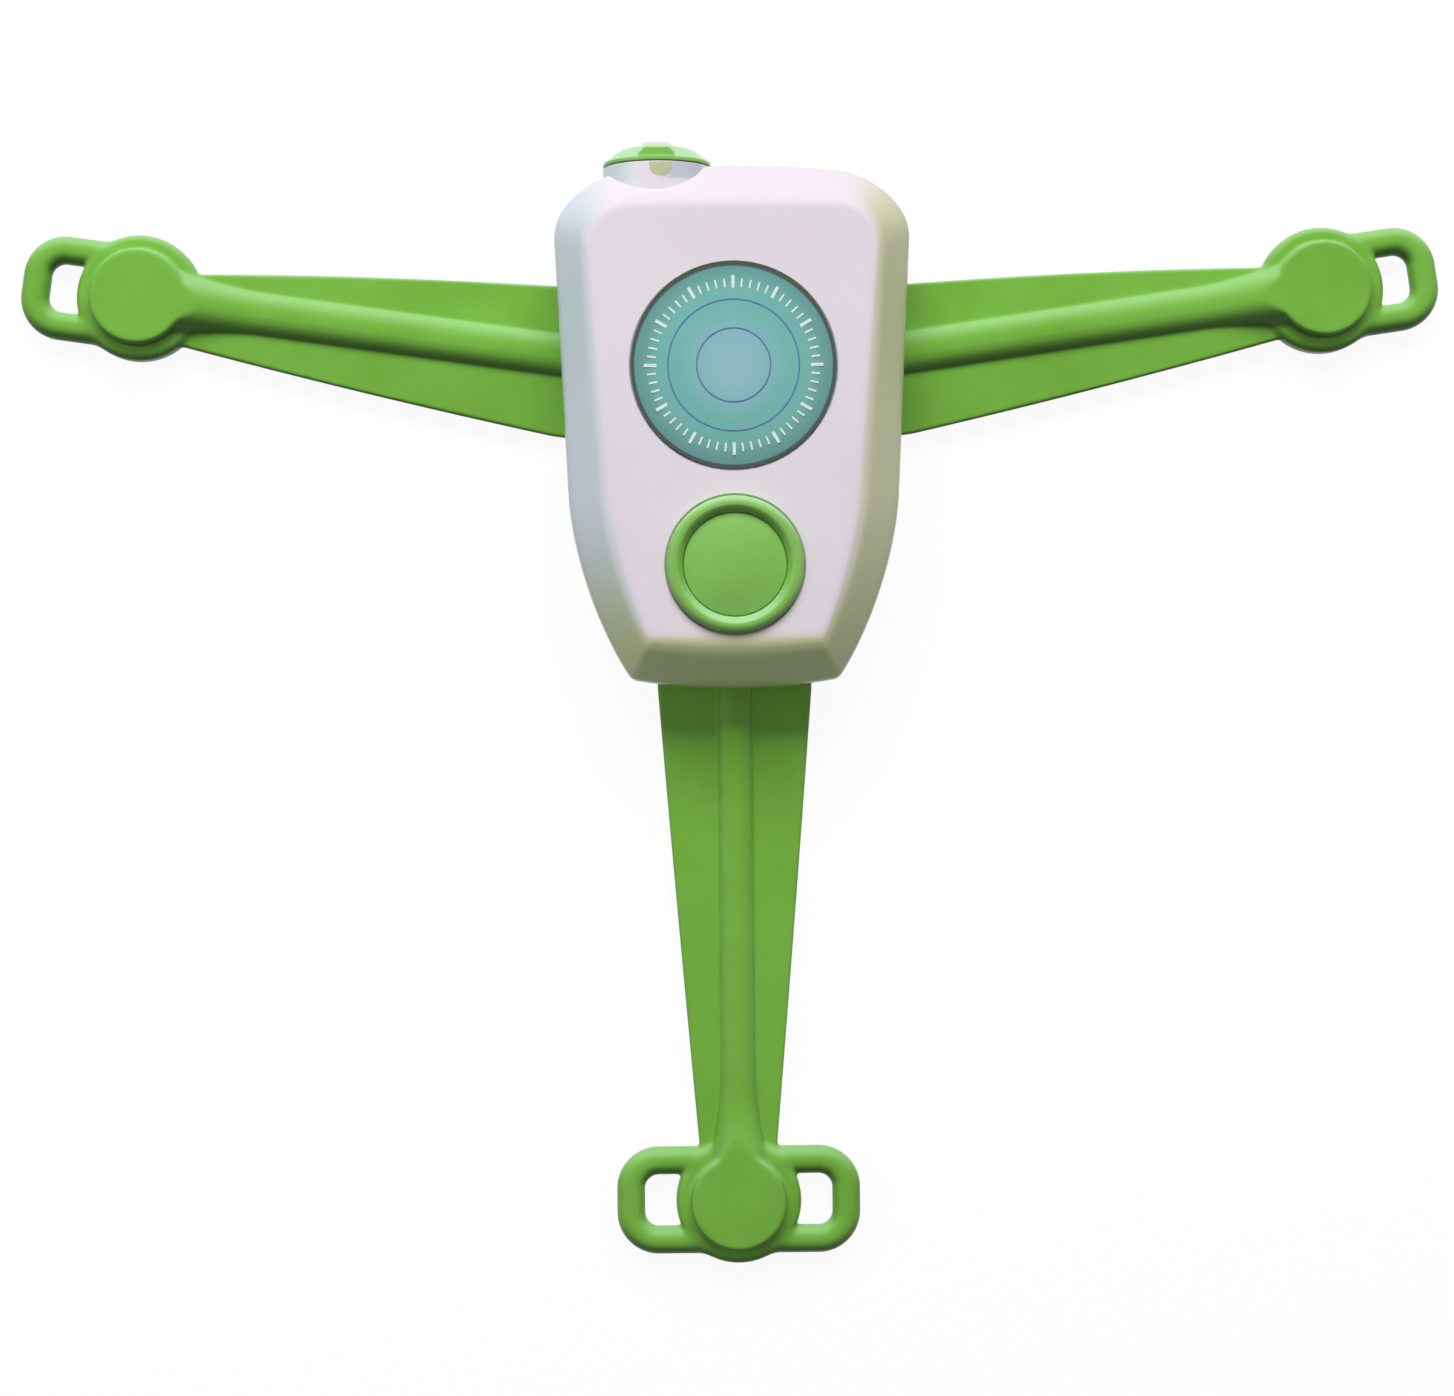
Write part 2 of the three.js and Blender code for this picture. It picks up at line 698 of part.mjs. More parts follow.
function frontCover() {
  const { outside, inside } = bevelledShell();
  const neck = turnedOnNeck([
    [0, neckEndY],
    [neckRadius, neckEndY],
    [neckRadius, housingHalfHeight - neckChamfer],
    [neckRadius - neckChamfer, housingHalfHeight],
    [0, housingHalfHeight],
  ]);
  const underSkin = outside.translate([0, 0, -weld]);
  const columns = posts.map((post) => rod(postRadius, boardTop + seatGap, housingDepth, smallFacets)
    .translate([post.x, post.y, 0]).intersect(underSkin));
  const saddles = [housingHalfHeight - saddleTopInset, tubeEndY + saddleEndInset].map((y) => block(
    [neckX - tubeRadius, y - saddleThickness / 2, housingDepth - faceWall - saddleDepth],
    [neckX + tubeRadius, y + saddleThickness / 2, housingDepth - faceWall + weld],
  ));
  const body = join([outside.subtract(inside), neck, ...columns, ...saddles]);
  const underRim = block(
    [-housingHalfWidth * 2, -housingHalfHeight * 2, -housingDepth],
    [housingHalfWidth * 2, housingHalfHeight * 2, rimZ],
  );
  return cut(body, [
    underRim,
    prism(bodyOutline(skirtWall), -overrun, floorZ),
    rodOnNeck(tubeBore, neckEndY - overrun, housingHalfHeight + overrun),
    rodOnNeck(tubeRadius + seatGap, tubeEndY, neckEndY - seatGap),
    ...posts.map((post) => rod(postBore, boardTop, screwTop + seatGap, smallFacets)
      .translate([post.x, post.y, 0])),
    rod(labelRadius + seatGap, housingDepth - labelRecess, housingDepth + overrun)
      .translate([0, labelY, 0]),
    rod(ringSleeveRadius + seatGap, housingDepth - faceWall - overrun, housingDepth + overrun)
      .translate([0, buttonY, 0]),
    rod(ringOuterRadius + seatGap, housingDepth - ringSeatDepth, housingDepth + overrun)
      .translate([0, buttonY, 0]),
    ...arms.map(armNotch),
  ]);
}

// Rear cover

function rearCover() {
  const plate = loft(rearEdgeShares.map(([inward, upward]) => ring(
    bodyOutline(rearEdgeInset + inward * rearEdgeRound), upward * rearThickness,
  )));
  const platform = prism(bodyOutline(housingWall + seatGap), rearThickness - weld, floorZ);
  const columns = posts.map((post) => rod(
    postRadius, rearThickness - weld, (post.throughBoard ? boardBottom : boardTop) - seatGap, smallFacets,
  ).translate([post.x, post.y, 0]));
  return cut(join([plate, platform, ...columns]), [
    ...posts.map((post) => turned([
      [0, -overrun],
      [screwHeadRadius + seatGap, -overrun],
      [screwHeadRadius + seatGap, counterboreDepth],
      [postBore, counterboreDepth],
      [postBore, boardTop + overrun],
      [0, boardTop + overrun],
    ], smallFacets).translate([post.x, post.y, 0])),
    rodOnNeck(tubeRadius + seatGap, tubeEndY - seatGap, neckEndY),
  ]);
}

function coverSeal() {
  const outer = skirtWall + slideGap;
  return prism(bodyOutline(outer), rearThickness, floorZ)
    .subtract(prism(bodyOutline(outer + sealWidth), 0, housingDepth));
}

function coverScrew(post) {
  const headTop = counterboreDepth - seatGap;
  const headLow = headTop - screwHeadHeight;
  return turned([
    [0, headLow + screwRecessDepth],
    [screwRecessRadius, headLow + screwRecessDepth],
    [screwRecessRadius, headLow],
    [screwHeadRadius, headLow],
    [screwHeadRadius, headTop],
    [screwRadius, headTop],
    [screwRadius, screwTop],
    [0, screwTop],
  ], smallFacets).translate([post.x, post.y, 0]);
}

addPart('front_cover', frontCover(), white);
addPart('rear_cover', rearCover(), white);
addPart('cover_seal', coverSeal(), sealRubber);
posts.forEach((post) => addPart(post.name, coverScrew(post), steel));

// Label dome

const labelFloor = housingDepth - labelRecess + seatGap;
addPart('label_dome', turned([
  [0, labelFloor],
  [labelRadius, labelFloor],
  ...labelCrownShares.map(([out, up]) => [out * labelRadius, labelFloor + labelEdge + up * labelCrown]),
]).translate([0, labelY, 0]), teal);

// Event button

const ringSeat = housingDepth - ringSeatDepth + seatGap;
const sleeveBottom = housingDepth - faceWall - ringSleeveDepth;
const buttonTop = housingDepth + buttonTopAbove;
const flangeTop = sleeveBottom - seatGap;

addPart('button_rim', turned([
  [ringInnerRadius, sleeveBottom],
  [ringSleeveRadius, sleeveBottom],
  [ringSleeveRadius, ringSeat],
  [ringOuterRadius, ringSeat],
  ...ringCrestShares.map(([across, up]) => [
    ringOuterRadius - across * ringWidth, housingDepth + up * ringCrestAbove,
  ]),
  [ringInnerRadius, sleeveBottom],
]).translate([0, buttonY, 0]), green);

addPart('event_button', turned([
  [0, plungerTop],
  [buttonStemRadius, plungerTop],
  [buttonStemRadius, flangeTop - buttonFlangeThickness],
  [flangeRadius, flangeTop - buttonFlangeThickness],
  [flangeRadius, flangeTop],
  [buttonRadius, flangeTop],
  [buttonRadius, buttonTop - buttonDish],
  [buttonRadius - buttonDish, buttonTop],
  ...buttonDishShares.map(([out, down]) => [out * buttonRadius, buttonTop - down * buttonDish]),
]).translate([0, buttonY, 0]), green);

const plunger = rod(plungerRadius, plungerTop - plungerDepth, plungerTop, smallFacets)
  .translate([0, buttonY, 0]);
addPart('switch_plunger', plunger, ivory);

// Main board

function mainBoard() {
  const outlineOfBoard = prism(bodyOutline(boardInset), boardBottom, boardTop);
  const batteryBay = block(
    [-housingHalfWidth * 2, tubeEndY - overrun, 0],
    [neckX + neckRadius + weld, housingHalfHeight * 2, housingDepth],
  );
  const holes = posts.map((post) => rod(postBore, 0, housingDepth, smallFacets)
    .translate([post.x, post.y, 0]));
  return cut(outlineOfBoard, [batteryBay, ...holes]);
}

function onBoard(x, y, width, length, height) {
  return block(
    [x - width / 2, y - length / 2, boardTop],
    [x + width / 2, y + length / 2, boardTop + height],
  );
}

function tactSwitch() {
  const wellFloor = plungerTop - plungerDepth - buttonTravel - seatGap;
  const well = rod(plungerRadius + slideGap, wellFloor, housingDepth, smallFacets)
    .translate([0, buttonY, 0]);
  return onBoard(0, buttonY, switchWidth, switchWidth, switchHeight).subtract(well);
}

// Chips stand along the board's right-hand strip, beside the battery.
const stripX = (neckX + neckRadius + wallHalfWidthAt(0) - boardInset) / 2;
const controllerY = 0;
const memoryY = controllerY + controllerWidth / 2 + memoryLength;
const ecgChipY = memoryY + memoryLength / 2 + ecgChipWidth;

addPart('main_board', mainBoard(), laminate);
addPart('tact_switch', tactSwitch(), moulding);
const chips = [
  ['controller_chip', controllerY, controllerWidth, controllerWidth],
  ['memory_chip', memoryY, memoryWidth, memoryLength],
  ['ecg_chip', ecgChipY, ecgChipWidth, ecgChipWidth],
];
chips.forEach(([name, y, width, length]) => {
  addPart(name, onBoard(stripX, y, width, length, chipHeight), moulding);
});

// Battery

addPart('battery_tube', turnedOnNeck([
  [0, tubeEndY],
  [tubeRadius, tubeEndY],
  [tubeRadius, neckEndY - seatGap * 2],
  [tubeBore, neckEndY - seatGap * 2],
  [tubeBore, tubeFloorY],
  [0, tubeFloorY],
], innerFacets), ivory);

const cellFlat = cellRadius * cellShoulderShare;
const cellRound = cellRadius - cellFlat;
addPart('battery_cell', turnedOnNeck([
  [0, cellBottomY],
  [cellFlat, cellBottomY],
  [cellRadius, cellBottomY + cellRound],
  [cellRadius, cellTopY - nubHeight - cellRound],
  [cellFlat, cellTopY - nubHeight],
  [nubRadius, cellTopY - nubHeight],
  [nubRadius, cellTopY],
  [0, cellTopY],
], innerFacets), cellWrap);

// The contact spring narrows towards the cell.
class ConicalHelix extends THREE.Curve {
  getPoint(t, target = new THREE.Vector3()) {
    const radius = THREE.MathUtils.lerp(springWideRadius, springNarrowRadius, t);
    const angle = t * springTurns * 2 * Math.PI;
    const rise = springWire + t * (springHeight - springWire * 2);
    return target.set(
      neckX + radius * Math.cos(angle),
      springBottomY + rise,
      neckZ + radius * Math.sin(angle),
    );
  }
}
const spring = tube(new ConicalHelix(), springWire, springTurns * springSteps, springFacets);
addPart('battery_spring', solid(spring), steel);

const contactTop = contactY + contactThickness;
addPart('battery_contact', rodOnNeck(contactRadius, contactY, contactTop, innerFacets), brass);

// Battery cap

// The grip bar lies across the cap and arches down towards its two ends.
function gripBar() {
  const low = capFaceY + capGripEndInset;
  const rings = [];
  for (let step = 0; step <= gripSteps; step += 1) {
    const along = step / gripSteps * 2 - 1;
    const high = capFaceY + capGripHeight - capGripArch * along * along;
    const z = neckZ + along * neckRadius;
    rings.push([
      [-capGripBaseWidth / 2, low],
      [capGripBaseWidth / 2, low],
      [capGripBaseWidth / 2, high - capGripShoulder],
      [capGripTopWidth / 2, high],
      [-capGripTopWidth / 2, high],
      [-capGripBaseWidth / 2, high - capGripShoulder],
    ].map(([x, y]) => new THREE.Vector3(neckX + x, y, z)));
  }
  return loft(rings);
}

function batteryCap() {
  const sealY = (plugEndY + housingHalfHeight) / 2;
  const grooveHalf = capSealRadius + seatGap;
  const stemTop = plugEndY + capRivetLength + seatGap;
  const dome = turnedOnNeck([
    [0, stemTop],
    [capRivetRadius + seatGap, stemTop],
    [capRivetRadius + seatGap, plugEndY],
    [plugRadius, plugEndY],
    [plugRadius, sealY - grooveHalf],
    [plugRadius - capGrooveDepth, sealY - grooveHalf],
    [plugRadius - capGrooveDepth, sealY + grooveHalf],
    [plugRadius, sealY + grooveHalf],
    [plugRadius, capFaceY],
    ...capDomeShares.map(([out, up]) => [out * neckRadius, capFaceY + up * capDomeHeight]),
  ]);
  const roundEnds = rodOnNeck(neckRadius - capGripEndInset, capFaceY, capFaceY + capGripHeight + overrun);
  return { cap: dome.add(gripBar().intersect(roundEnds)), sealY };
}

const { cap, sealY } = batteryCap();
addPart('battery_cap', cap, green);

// A turned ring of round section; its few facets lie inside the groove's and the bore's clearances.
const sealMiddle = plugRadius - capSealRadius + slideGap / 2;
const sealSection = [];
for (let i = 0; i <= sealFacets; i += 1) {
  const angle = -i / sealFacets * 2 * Math.PI;
  sealSection.push([sealMiddle + capSealRadius * Math.cos(angle), sealY + capSealRadius * Math.sin(angle)]);
}
addPart('cap_seal', turnedOnNeck(sealSection, innerFacets), sealRubber);

addPart('cap_contact', turnedOnNeck([
  [0, capContactY],
  [capContactRadius, capContactY],
  [capContactRadius, capContactY + capContactThickness],
  [capRivetRadius, capContactY + capContactThickness],
  [capRivetRadius, plugEndY + capRivetLength],
  [0, plugEndY + capRivetLength],
], innerFacets), brass);

// Arms, each with its snap socket, the socket's wire spring and its lead

function snapSocket(arm) {
  return turned([
    [0, snapBoreTop],
    [snapBoreRadius, snapBoreTop],
    [snapBoreRadius, snapGrooveHigh],
    [snapGrooveRadius, snapGrooveHigh],
    [snapGrooveRadius, snapGrooveLow],
    [snapBoreRadius, snapGrooveLow],
    [snapBoreRadius, seatGap],
    [pocketRadius - seatGap, seatGap],
    [pocketRadius - seatGap, seatGap + snapFlangeThickness],
    [snapBodyRadius, seatGap + snapFlangeThickness],
    [snapBodyRadius, snapBodyTop],
    [0, snapBodyTop],
  ], innerFacets).translate([arm.length, 0, 0]);
}

function snapSpring(arm) {
  const radius = (snapBoreRadius + snapGrooveRadius) / 2;
  const open = snapOpening / 180 * Math.PI;
  const z = (snapGrooveLow + snapGrooveHigh) / 2;
  const points = [];
  for (let i = 0; i <= smallFacets; i += 1) {
    const angle = open / 2 + i / smallFacets * (2 * Math.PI - open);
    points.push(new THREE.Vector3(arm.length + radius * Math.cos(angle), radius * Math.sin(angle), z));
  }
  return solid(tube(new THREE.CatmullRomCurve3(points), snapWire, smallFacets, springFacets));
}

// The lead leaves the tongue straight and then runs to its terminal under the board.
const terminals = {
  left: { x: -lowerPostX + postRadius, y: buttonY + postRadius, side: [-1, 0] },
  right: { x: sideWall - terminalInset, y: sideArmY - terminalWidth / 2, side: [1, 0] },
  lower: { x: 0, y: lowerPostY + terminalWidth / 2, side: [0, -1] },
};
const terminalWireZ = boardBottom - terminalHeight / 2;

function terminal(place) {
  const [halfX, halfY] = place.side[0] === 0
    ? [terminalWidth / 2, terminalLength / 2]
    : [terminalLength / 2, terminalWidth / 2];
  return block(
    [place.x - halfX, place.y - halfY, boardBottom - terminalHeight],
    [place.x + halfX, place.y + halfY, boardBottom],
  );
}

function leadTail(arm) {
  const matrix = armMatrix(arm);
  const onArm = (x) => new THREE.Vector3(x, 0, leadZ).applyMatrix4(matrix);
  const place = terminals[arm.name];
  const reach = terminalLength / 2 + seatGap;
  const end = (extra) => new THREE.Vector3(
    place.x + place.side[0] * (reach + extra), place.y + place.side[1] * (reach + extra), terminalWireZ,
  );
  const tongueEnd = -(housingWall + tongueReach + seatGap);
  const onRoute = ([along, inset, climb]) => {
    const y = THREE.MathUtils.lerp(arm.y, place.y, along);
    const x = Math.sign(arm.x) * (wallHalfWidthAt(y) - inset);
    return new THREE.Vector3(x, y, THREE.MathUtils.lerp(leadZ, terminalWireZ, climb));
  };
  const curve = new THREE.CatmullRomCurve3([
    onArm(hingeDistance - ridgeRadius - jointGap - leadSetback),
    onArm(0),
    onArm(tongueEnd),
    onArm(tongueEnd - leadRadius),
    ...tailRoutes[arm.name].map(onRoute),
    end(leadRadius),
    end(0),
  ]);
  return solid(tube(curve, leadRadius, tailSteps, leadFacets));
}

arms.forEach((arm) => {
  addPart(`${arm.name}_arm_root`, armRoot(arm), silicone);
  addPart(`${arm.name}_arm`, placed(movingArm(arm), arm), silicone);
  addPart(`${arm.name}_snap_socket`, placed(snapSocket(arm), arm), steel);
  addPart(`${arm.name}_snap_spring`, placed(snapSpring(arm), arm), brass);
  const leadStart = hingeDistance - ridgeRadius + leadSetback;
  const leadEnd = arm.length - snapBodyRadius - seatGap;
  const lead = alongArm(leadRadius, leadStart, leadEnd, leadZ, leadFacets);
  addPart(`${arm.name}_lead`, placed(lead, arm), leadSheath);
  addPart(`${arm.name}_lead_tail`, leadTail(arm), leadSheath);
  addPart(`${arm.name}_lead_terminal`, terminal(terminals[arm.name]), ivory);
});

export default recorder;
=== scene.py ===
"""Looks of the wearable heart recorder: covers, neck cap, event button, domed label, silicone arms.

Sizes are in millimetres, and a mesh turns to metres when its piece is made. X runs to the viewer's
right and Y up the face, Z stands out of it.
"""

import logging
import math
from dataclasses import dataclass
from enum import Enum
from typing import Any, Callable, Optional, Sequence

import bpy
import numpy as np
from mathutils import Matrix, Vector


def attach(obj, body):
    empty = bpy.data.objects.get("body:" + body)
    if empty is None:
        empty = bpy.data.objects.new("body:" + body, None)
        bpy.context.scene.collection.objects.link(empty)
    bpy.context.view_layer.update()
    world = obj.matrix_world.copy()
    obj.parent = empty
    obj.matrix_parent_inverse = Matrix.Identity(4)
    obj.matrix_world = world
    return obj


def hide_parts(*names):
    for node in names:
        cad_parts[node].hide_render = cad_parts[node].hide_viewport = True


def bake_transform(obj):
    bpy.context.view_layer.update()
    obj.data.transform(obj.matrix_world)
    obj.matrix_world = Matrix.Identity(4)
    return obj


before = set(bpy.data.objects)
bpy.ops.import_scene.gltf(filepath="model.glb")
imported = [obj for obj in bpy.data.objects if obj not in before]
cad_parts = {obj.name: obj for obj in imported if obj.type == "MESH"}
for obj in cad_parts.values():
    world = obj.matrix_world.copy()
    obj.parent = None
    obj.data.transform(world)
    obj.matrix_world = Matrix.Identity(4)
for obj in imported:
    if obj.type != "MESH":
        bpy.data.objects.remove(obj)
log = logging.getLogger("recorder")

MM = 0.001
OVERRUN = 1.0
WELD = 0.4
SEAT_GAP = 0.3

Profile = Sequence[Sequence[float]]
Field = Callable[[np.ndarray], np.ndarray]


class Operation(Enum):
    """How one solid works on another."""

    JOIN = "UNION"
    CUT = "DIFFERENCE"


class Side(Enum):
    """The three arms, by where they leave the housing."""

    LEFT = "left"
    RIGHT = "right"
    LOWER = "lower"


class Slot(Enum):
    """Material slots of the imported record."""

    HOUSING = "housing"
    BUTTON = "button"
    SILICONE = "silicone"
    LABEL = "label"
    STEEL = "steel"


# Nodes and finishes


def linear(colour: str) -> tuple[float, float, float, float]:
    """Turns an sRGB hex colour into linear light.

    Args:
        colour: six hex digits after a hash sign.

    Returns:
        Red, green, blue and a full alpha.
    """
    channels = [int(colour[start:start + 2], 16) / 255 for start in (1, 3, 5)]
    red, green, blue = (c / 12.92 if c <= 0.04045 else ((c + 0.055) / 1.055) ** 2.4 for c in channels)
    return red, green, blue, 1.0


def add_node(
    tree: bpy.types.NodeTree,
    kind: str,
    settings: Optional[dict[str, Any]] = None,
    inputs: Optional[dict[Any, Any]] = None,
) -> bpy.types.Node:
    """Adds a node with its settings, its values and its links.

    Args:
        tree: the tree that the node goes into.
        kind: the node's type name.
        settings: attributes to set on the node.
        inputs: a value or a socket to link, by the input's name or number.

    Returns:
        The new node.
    """
    node = tree.nodes.new(kind)
    for name, value in (settings or {}).items():
        setattr(node, name, value)
    for name, value in (inputs or {}).items():
        if isinstance(value, bpy.types.NodeSocket):
            tree.links.new(value, node.inputs[name])
        else:
            node.inputs[name].default_value = value
    return node


def calculated(tree: bpy.types.NodeTree, operation: str, *values: Any) -> Any:
    """Adds a node that calculates.

    Args:
        tree: the tree that the node goes into.
        operation: what it does, in the node's own word.
        values: numbers, or sockets to link, in order.

    Returns:
        The socket of the result.
    """
    return add_node(tree, "ShaderNodeMath", {"operation": operation}, dict(enumerate(values))).outputs[0]


def parted(tree: bpy.types.NodeTree, vector: Any) -> Any:
    """The sockets X, Y and Z of a vector's socket."""
    return add_node(tree, "ShaderNodeSeparateXYZ", inputs={0: vector}).outputs


@dataclass(frozen=True)
class Finish:
    """A surface with a base colour, a mottle of a second one, uneven gloss and a fine grain."""

    name: str
    colour: str
    mottle: str
    mottle_size: float
    roughness: float
    roughness_spread: float
    grain_size: float
    grain_height: float
    metallic: float = 0.0
    coat: float = 0.0
    subsurface: float = 0.0
    specular: float = 0.5
    mottle_edges: tuple[float, float] = (0.35, 0.65)
    haze_edges: tuple[float, float] = (0.3, 0.7)
    coat_roughness: float = 0.08

    def noise(self, tree: bpy.types.NodeTree, place: Any, size: float, detail: float) -> bpy.types.Node:
        """Noise whose features are a size in millimetres.

        Args:
            tree: the material's tree.
            place: the socket of object coordinates.
            size: the size of a feature.
            detail: how many finer layers it has.

        Returns:
            The noise node.
        """
        inputs = {"Vector": place, "Scale": 1 / (size * MM), "Detail": detail, "Roughness": 0.55}
        return add_node(tree, "ShaderNodeTexNoise", inputs=inputs)

    def mixed(self, tree: bpy.types.NodeTree, share: Any, first: Any, second: Any) -> Any:
        """Blends two colours.

        Args:
            tree: the material's tree.
            share: a socket or number, 0 for the first colour and 1 for the second.
            first: a socket, or a colour as linear values.
            second: the same.

        Returns:
            The socket of the blend.
        """
        inputs = {0: share, 6: first, 7: second}
        return add_node(tree, "ShaderNodeMix", {"data_type": "RGBA"}, inputs).outputs[2]

    def ranged(self, tree: bpy.types.NodeTree, value: Any, span: Sequence[float]) -> Any:
        """Maps a value from one span to another.

        Args:
            tree: the material's tree.
            value: the socket to map.
            span: its low and high ends, then what they turn to.

        Returns:
            The socket of the result.
        """
        names = ("From Min", "From Max", "To Min", "To Max")
        inputs = {"Value": value, **dict(zip(names, span))}
        return add_node(tree, "ShaderNodeMapRange", {"interpolation_type": "SMOOTHSTEP"}, inputs).outputs[0]

    def colouring(self, tree: bpy.types.NodeTree, place: Any) -> Any:
        """The socket of the surface's colour: here a soft mottle.

        Args:
            tree: the material's tree.
            place: the socket of object coordinates.

        Returns:
            The socket of the colour.
        """
        cloud = self.noise(tree, place, self.mottle_size, 3).outputs[0]
        share = self.ranged(tree, cloud, (*self.mottle_edges, 0, 1))
        return self.mixed(tree, share, linear(self.colour), linear(self.mottle))

    def relief(self, tree: bpy.types.NodeTree, place: Any) -> Any:
        """The socket of the surface's small heights, from 0 to 1."""
        return self.noise(tree, place, self.grain_size, 2).outputs[0]

    def material(self) -> bpy.types.Material:
        """Builds the material.

        Returns:
            A material that reads object coordinates.
        """
        material = bpy.data.materials.new(self.name)
        material.use_nodes = True
        tree = material.node_tree
        shader = tree.nodes["Principled BSDF"]
        place = add_node(tree, "ShaderNodeTexCoord").outputs["Object"]
        tree.links.new(self.colouring(tree, place), shader.inputs["Base Color"])
        haze = self.noise(tree, place, self.mottle_size / 3, 4).outputs[0]
        low, high = self.roughness - self.roughness_spread, self.roughness + self.roughness_spread
        tree.links.new(self.ranged(tree, haze, (*self.haze_edges, low, high)), shader.inputs["Roughness"])
        bump = {"Height": self.relief(tree, place), "Distance": self.grain_height * MM, "Strength": 1.0}
        normal = add_node(tree, "ShaderNodeBump", inputs=bump)
        tree.links.new(normal.outputs[0], shader.inputs["Normal"])
        shader.inputs["Metallic"].default_value = self.metallic
        shader.inputs["Coat Weight"].default_value = self.coat
        shader.inputs["Coat Roughness"].default_value = self.coat_roughness
        shader.inputs["Subsurface Weight"].default_value = self.subsurface
        shader.inputs["Subsurface Scale"].default_value = MM
        shader.inputs["Specular IOR Level"].default_value = self.specular
        return material


@dataclass(frozen=True)
class PaintedLightFinish(Finish):
    """Moulded plastic with the photograph's light tinted into its colour.

    The real plastic has one colour. These casts follow the way a face points and its place, so they
    match from the front and show as tinted walls from the sides.
    """

    # Painted light: the cool tint is a painted reflection on faces that look left, the greens are painted
    # reflections of the green arms with painted shade on faces that look down, and the grey is painted shade
    # on the neck's right flank.
    painted_cool_reflection: str = "#D0E2EA"
    painted_side_reflection: str = "#CBD09B"
    painted_low_reflection: str = "#BFC796"
    painted_foot_shade: str = "#BED092"
    painted_edge_reflection: str = "#C9CA96"
    painted_neck_shade: str = "#BCC2D0"
    side_band: tuple[float, ...] = (-2.0, 12.0, 0, 1)
    low_band: tuple[float, ...] = (-16.0, -42.0, 0, 0.9)
    edge_band: tuple[float, ...] = (-35.6, -38.2, 0, 0.85)
    neck_band: tuple[float, ...] = (42.6, 43.4, 0, 1)
    neck_side_band: tuple[float, ...] = (-4.9, -5.6, 0, 1)
    left_span: tuple[float, ...] = (-0.15, -0.75, 0, 0.75)
    right_span: tuple[float, ...] = (0.15, 0.75, 0, 0.85)
    tilt_span: tuple[float, ...] = (0.98, 0.75, 0, 1)
    foot_span: tuple[float, ...] = (-0.1, -0.65, 0, 0.95)
    away_span: tuple[float, ...] = (0.0, 0.35, 0, 0.9)

    def colouring(self, tree: bpy.types.NodeTree, place: Any) -> Any:
        """The mottle, then painted light: a cool painted reflection on faces that look left, green painted
        reflections and shade on the right, the low plateau, its lower edge and faces that look down, and
        painted shade on the neck's right flank.
        """
        colour = super().colouring(tree, place)
        facing = parted(tree, add_node(tree, "ShaderNodeTexCoord").outputs["Normal"])
        spot = parted(tree, place)
        left = self.ranged(tree, facing["X"], self.left_span)
        right = self.ranged(tree, facing["X"], self.right_span)
        beside = self.placed(tree, spot["X"], self.side_band)
        low = self.placed(tree, spot["Y"], self.low_band)
        tilted = self.ranged(tree, facing["Z"], self.tilt_span)
        beneath = self.placed(tree, spot["Y"], self.neck_band)
        inward = self.placed(tree, spot["X"], self.neck_side_band)
        away = self.ranged(tree, facing["X"], self.away_span)
        under_neck = calculated(tree, "MULTIPLY", beneath, inward)
        casts = (
            (left, self.painted_cool_reflection),
            (calculated(tree, "MULTIPLY", right, beside), self.painted_side_reflection),
            (calculated(tree, "MULTIPLY", low, tilted), self.painted_low_reflection),
            (self.placed(tree, spot["Y"], self.edge_band), self.painted_edge_reflection),
            (self.ranged(tree, facing["Y"], self.foot_span), self.painted_foot_shade),
            (calculated(tree, "MULTIPLY", under_neck, away), self.painted_neck_shade),
        )
        for share, cast in casts:
            colour = self.mixed(tree, share, colour, linear(cast))
        return colour

    def placed(self, tree: bpy.types.NodeTree, value: Any, band: Sequence[float]) -> Any:
        """The socket of a place mapped by a band, whose ends are in millimetres."""
        return self.ranged(tree, value, (band[0] * MM, band[1] * MM, *band[2:]))


@dataclass(frozen=True)
class PaintedFlankShadingFinish(Finish):
    """Moulded green with the photograph's light on its flanks tinted into its colour.

    The real green is even. Here it pales on flanks that face the cap's end of the housing, and
    deepens on those that face the other way.
    """

    # Painted light: the pale colour is a painted highlight on flanks that face up the housing, and the deep
    # one is painted shade on flanks that face down.
    painted_highlight_colour: str = "#A8DC94"
    painted_shade_colour: str = "#2B5212"
    painted_highlight_share: float = 0.6
    painted_shade_share: float = 0.8
    flat_until: float = 0.12
    full_from: float = 0.75

    def colouring(self, tree: bpy.types.NodeTree, place: Any) -> Any:
        """The mottle, with a painted highlight on the upper flanks and painted shade on the lower."""
        colour = super().colouring(tree, place)
        facing = parted(tree, add_node(tree, "ShaderNodeTexCoord").outputs["Normal"])["Y"]
        upper = self.ranged(tree, facing, (self.flat_until, self.full_from, 0, self.painted_highlight_share))
        lower = self.ranged(tree, facing, (-self.flat_until, -self.full_from, 0, self.painted_shade_share))
        colour = self.mixed(tree, upper, colour, linear(self.painted_highlight_colour))
        return self.mixed(tree, lower, colour, linear(self.painted_shade_colour))


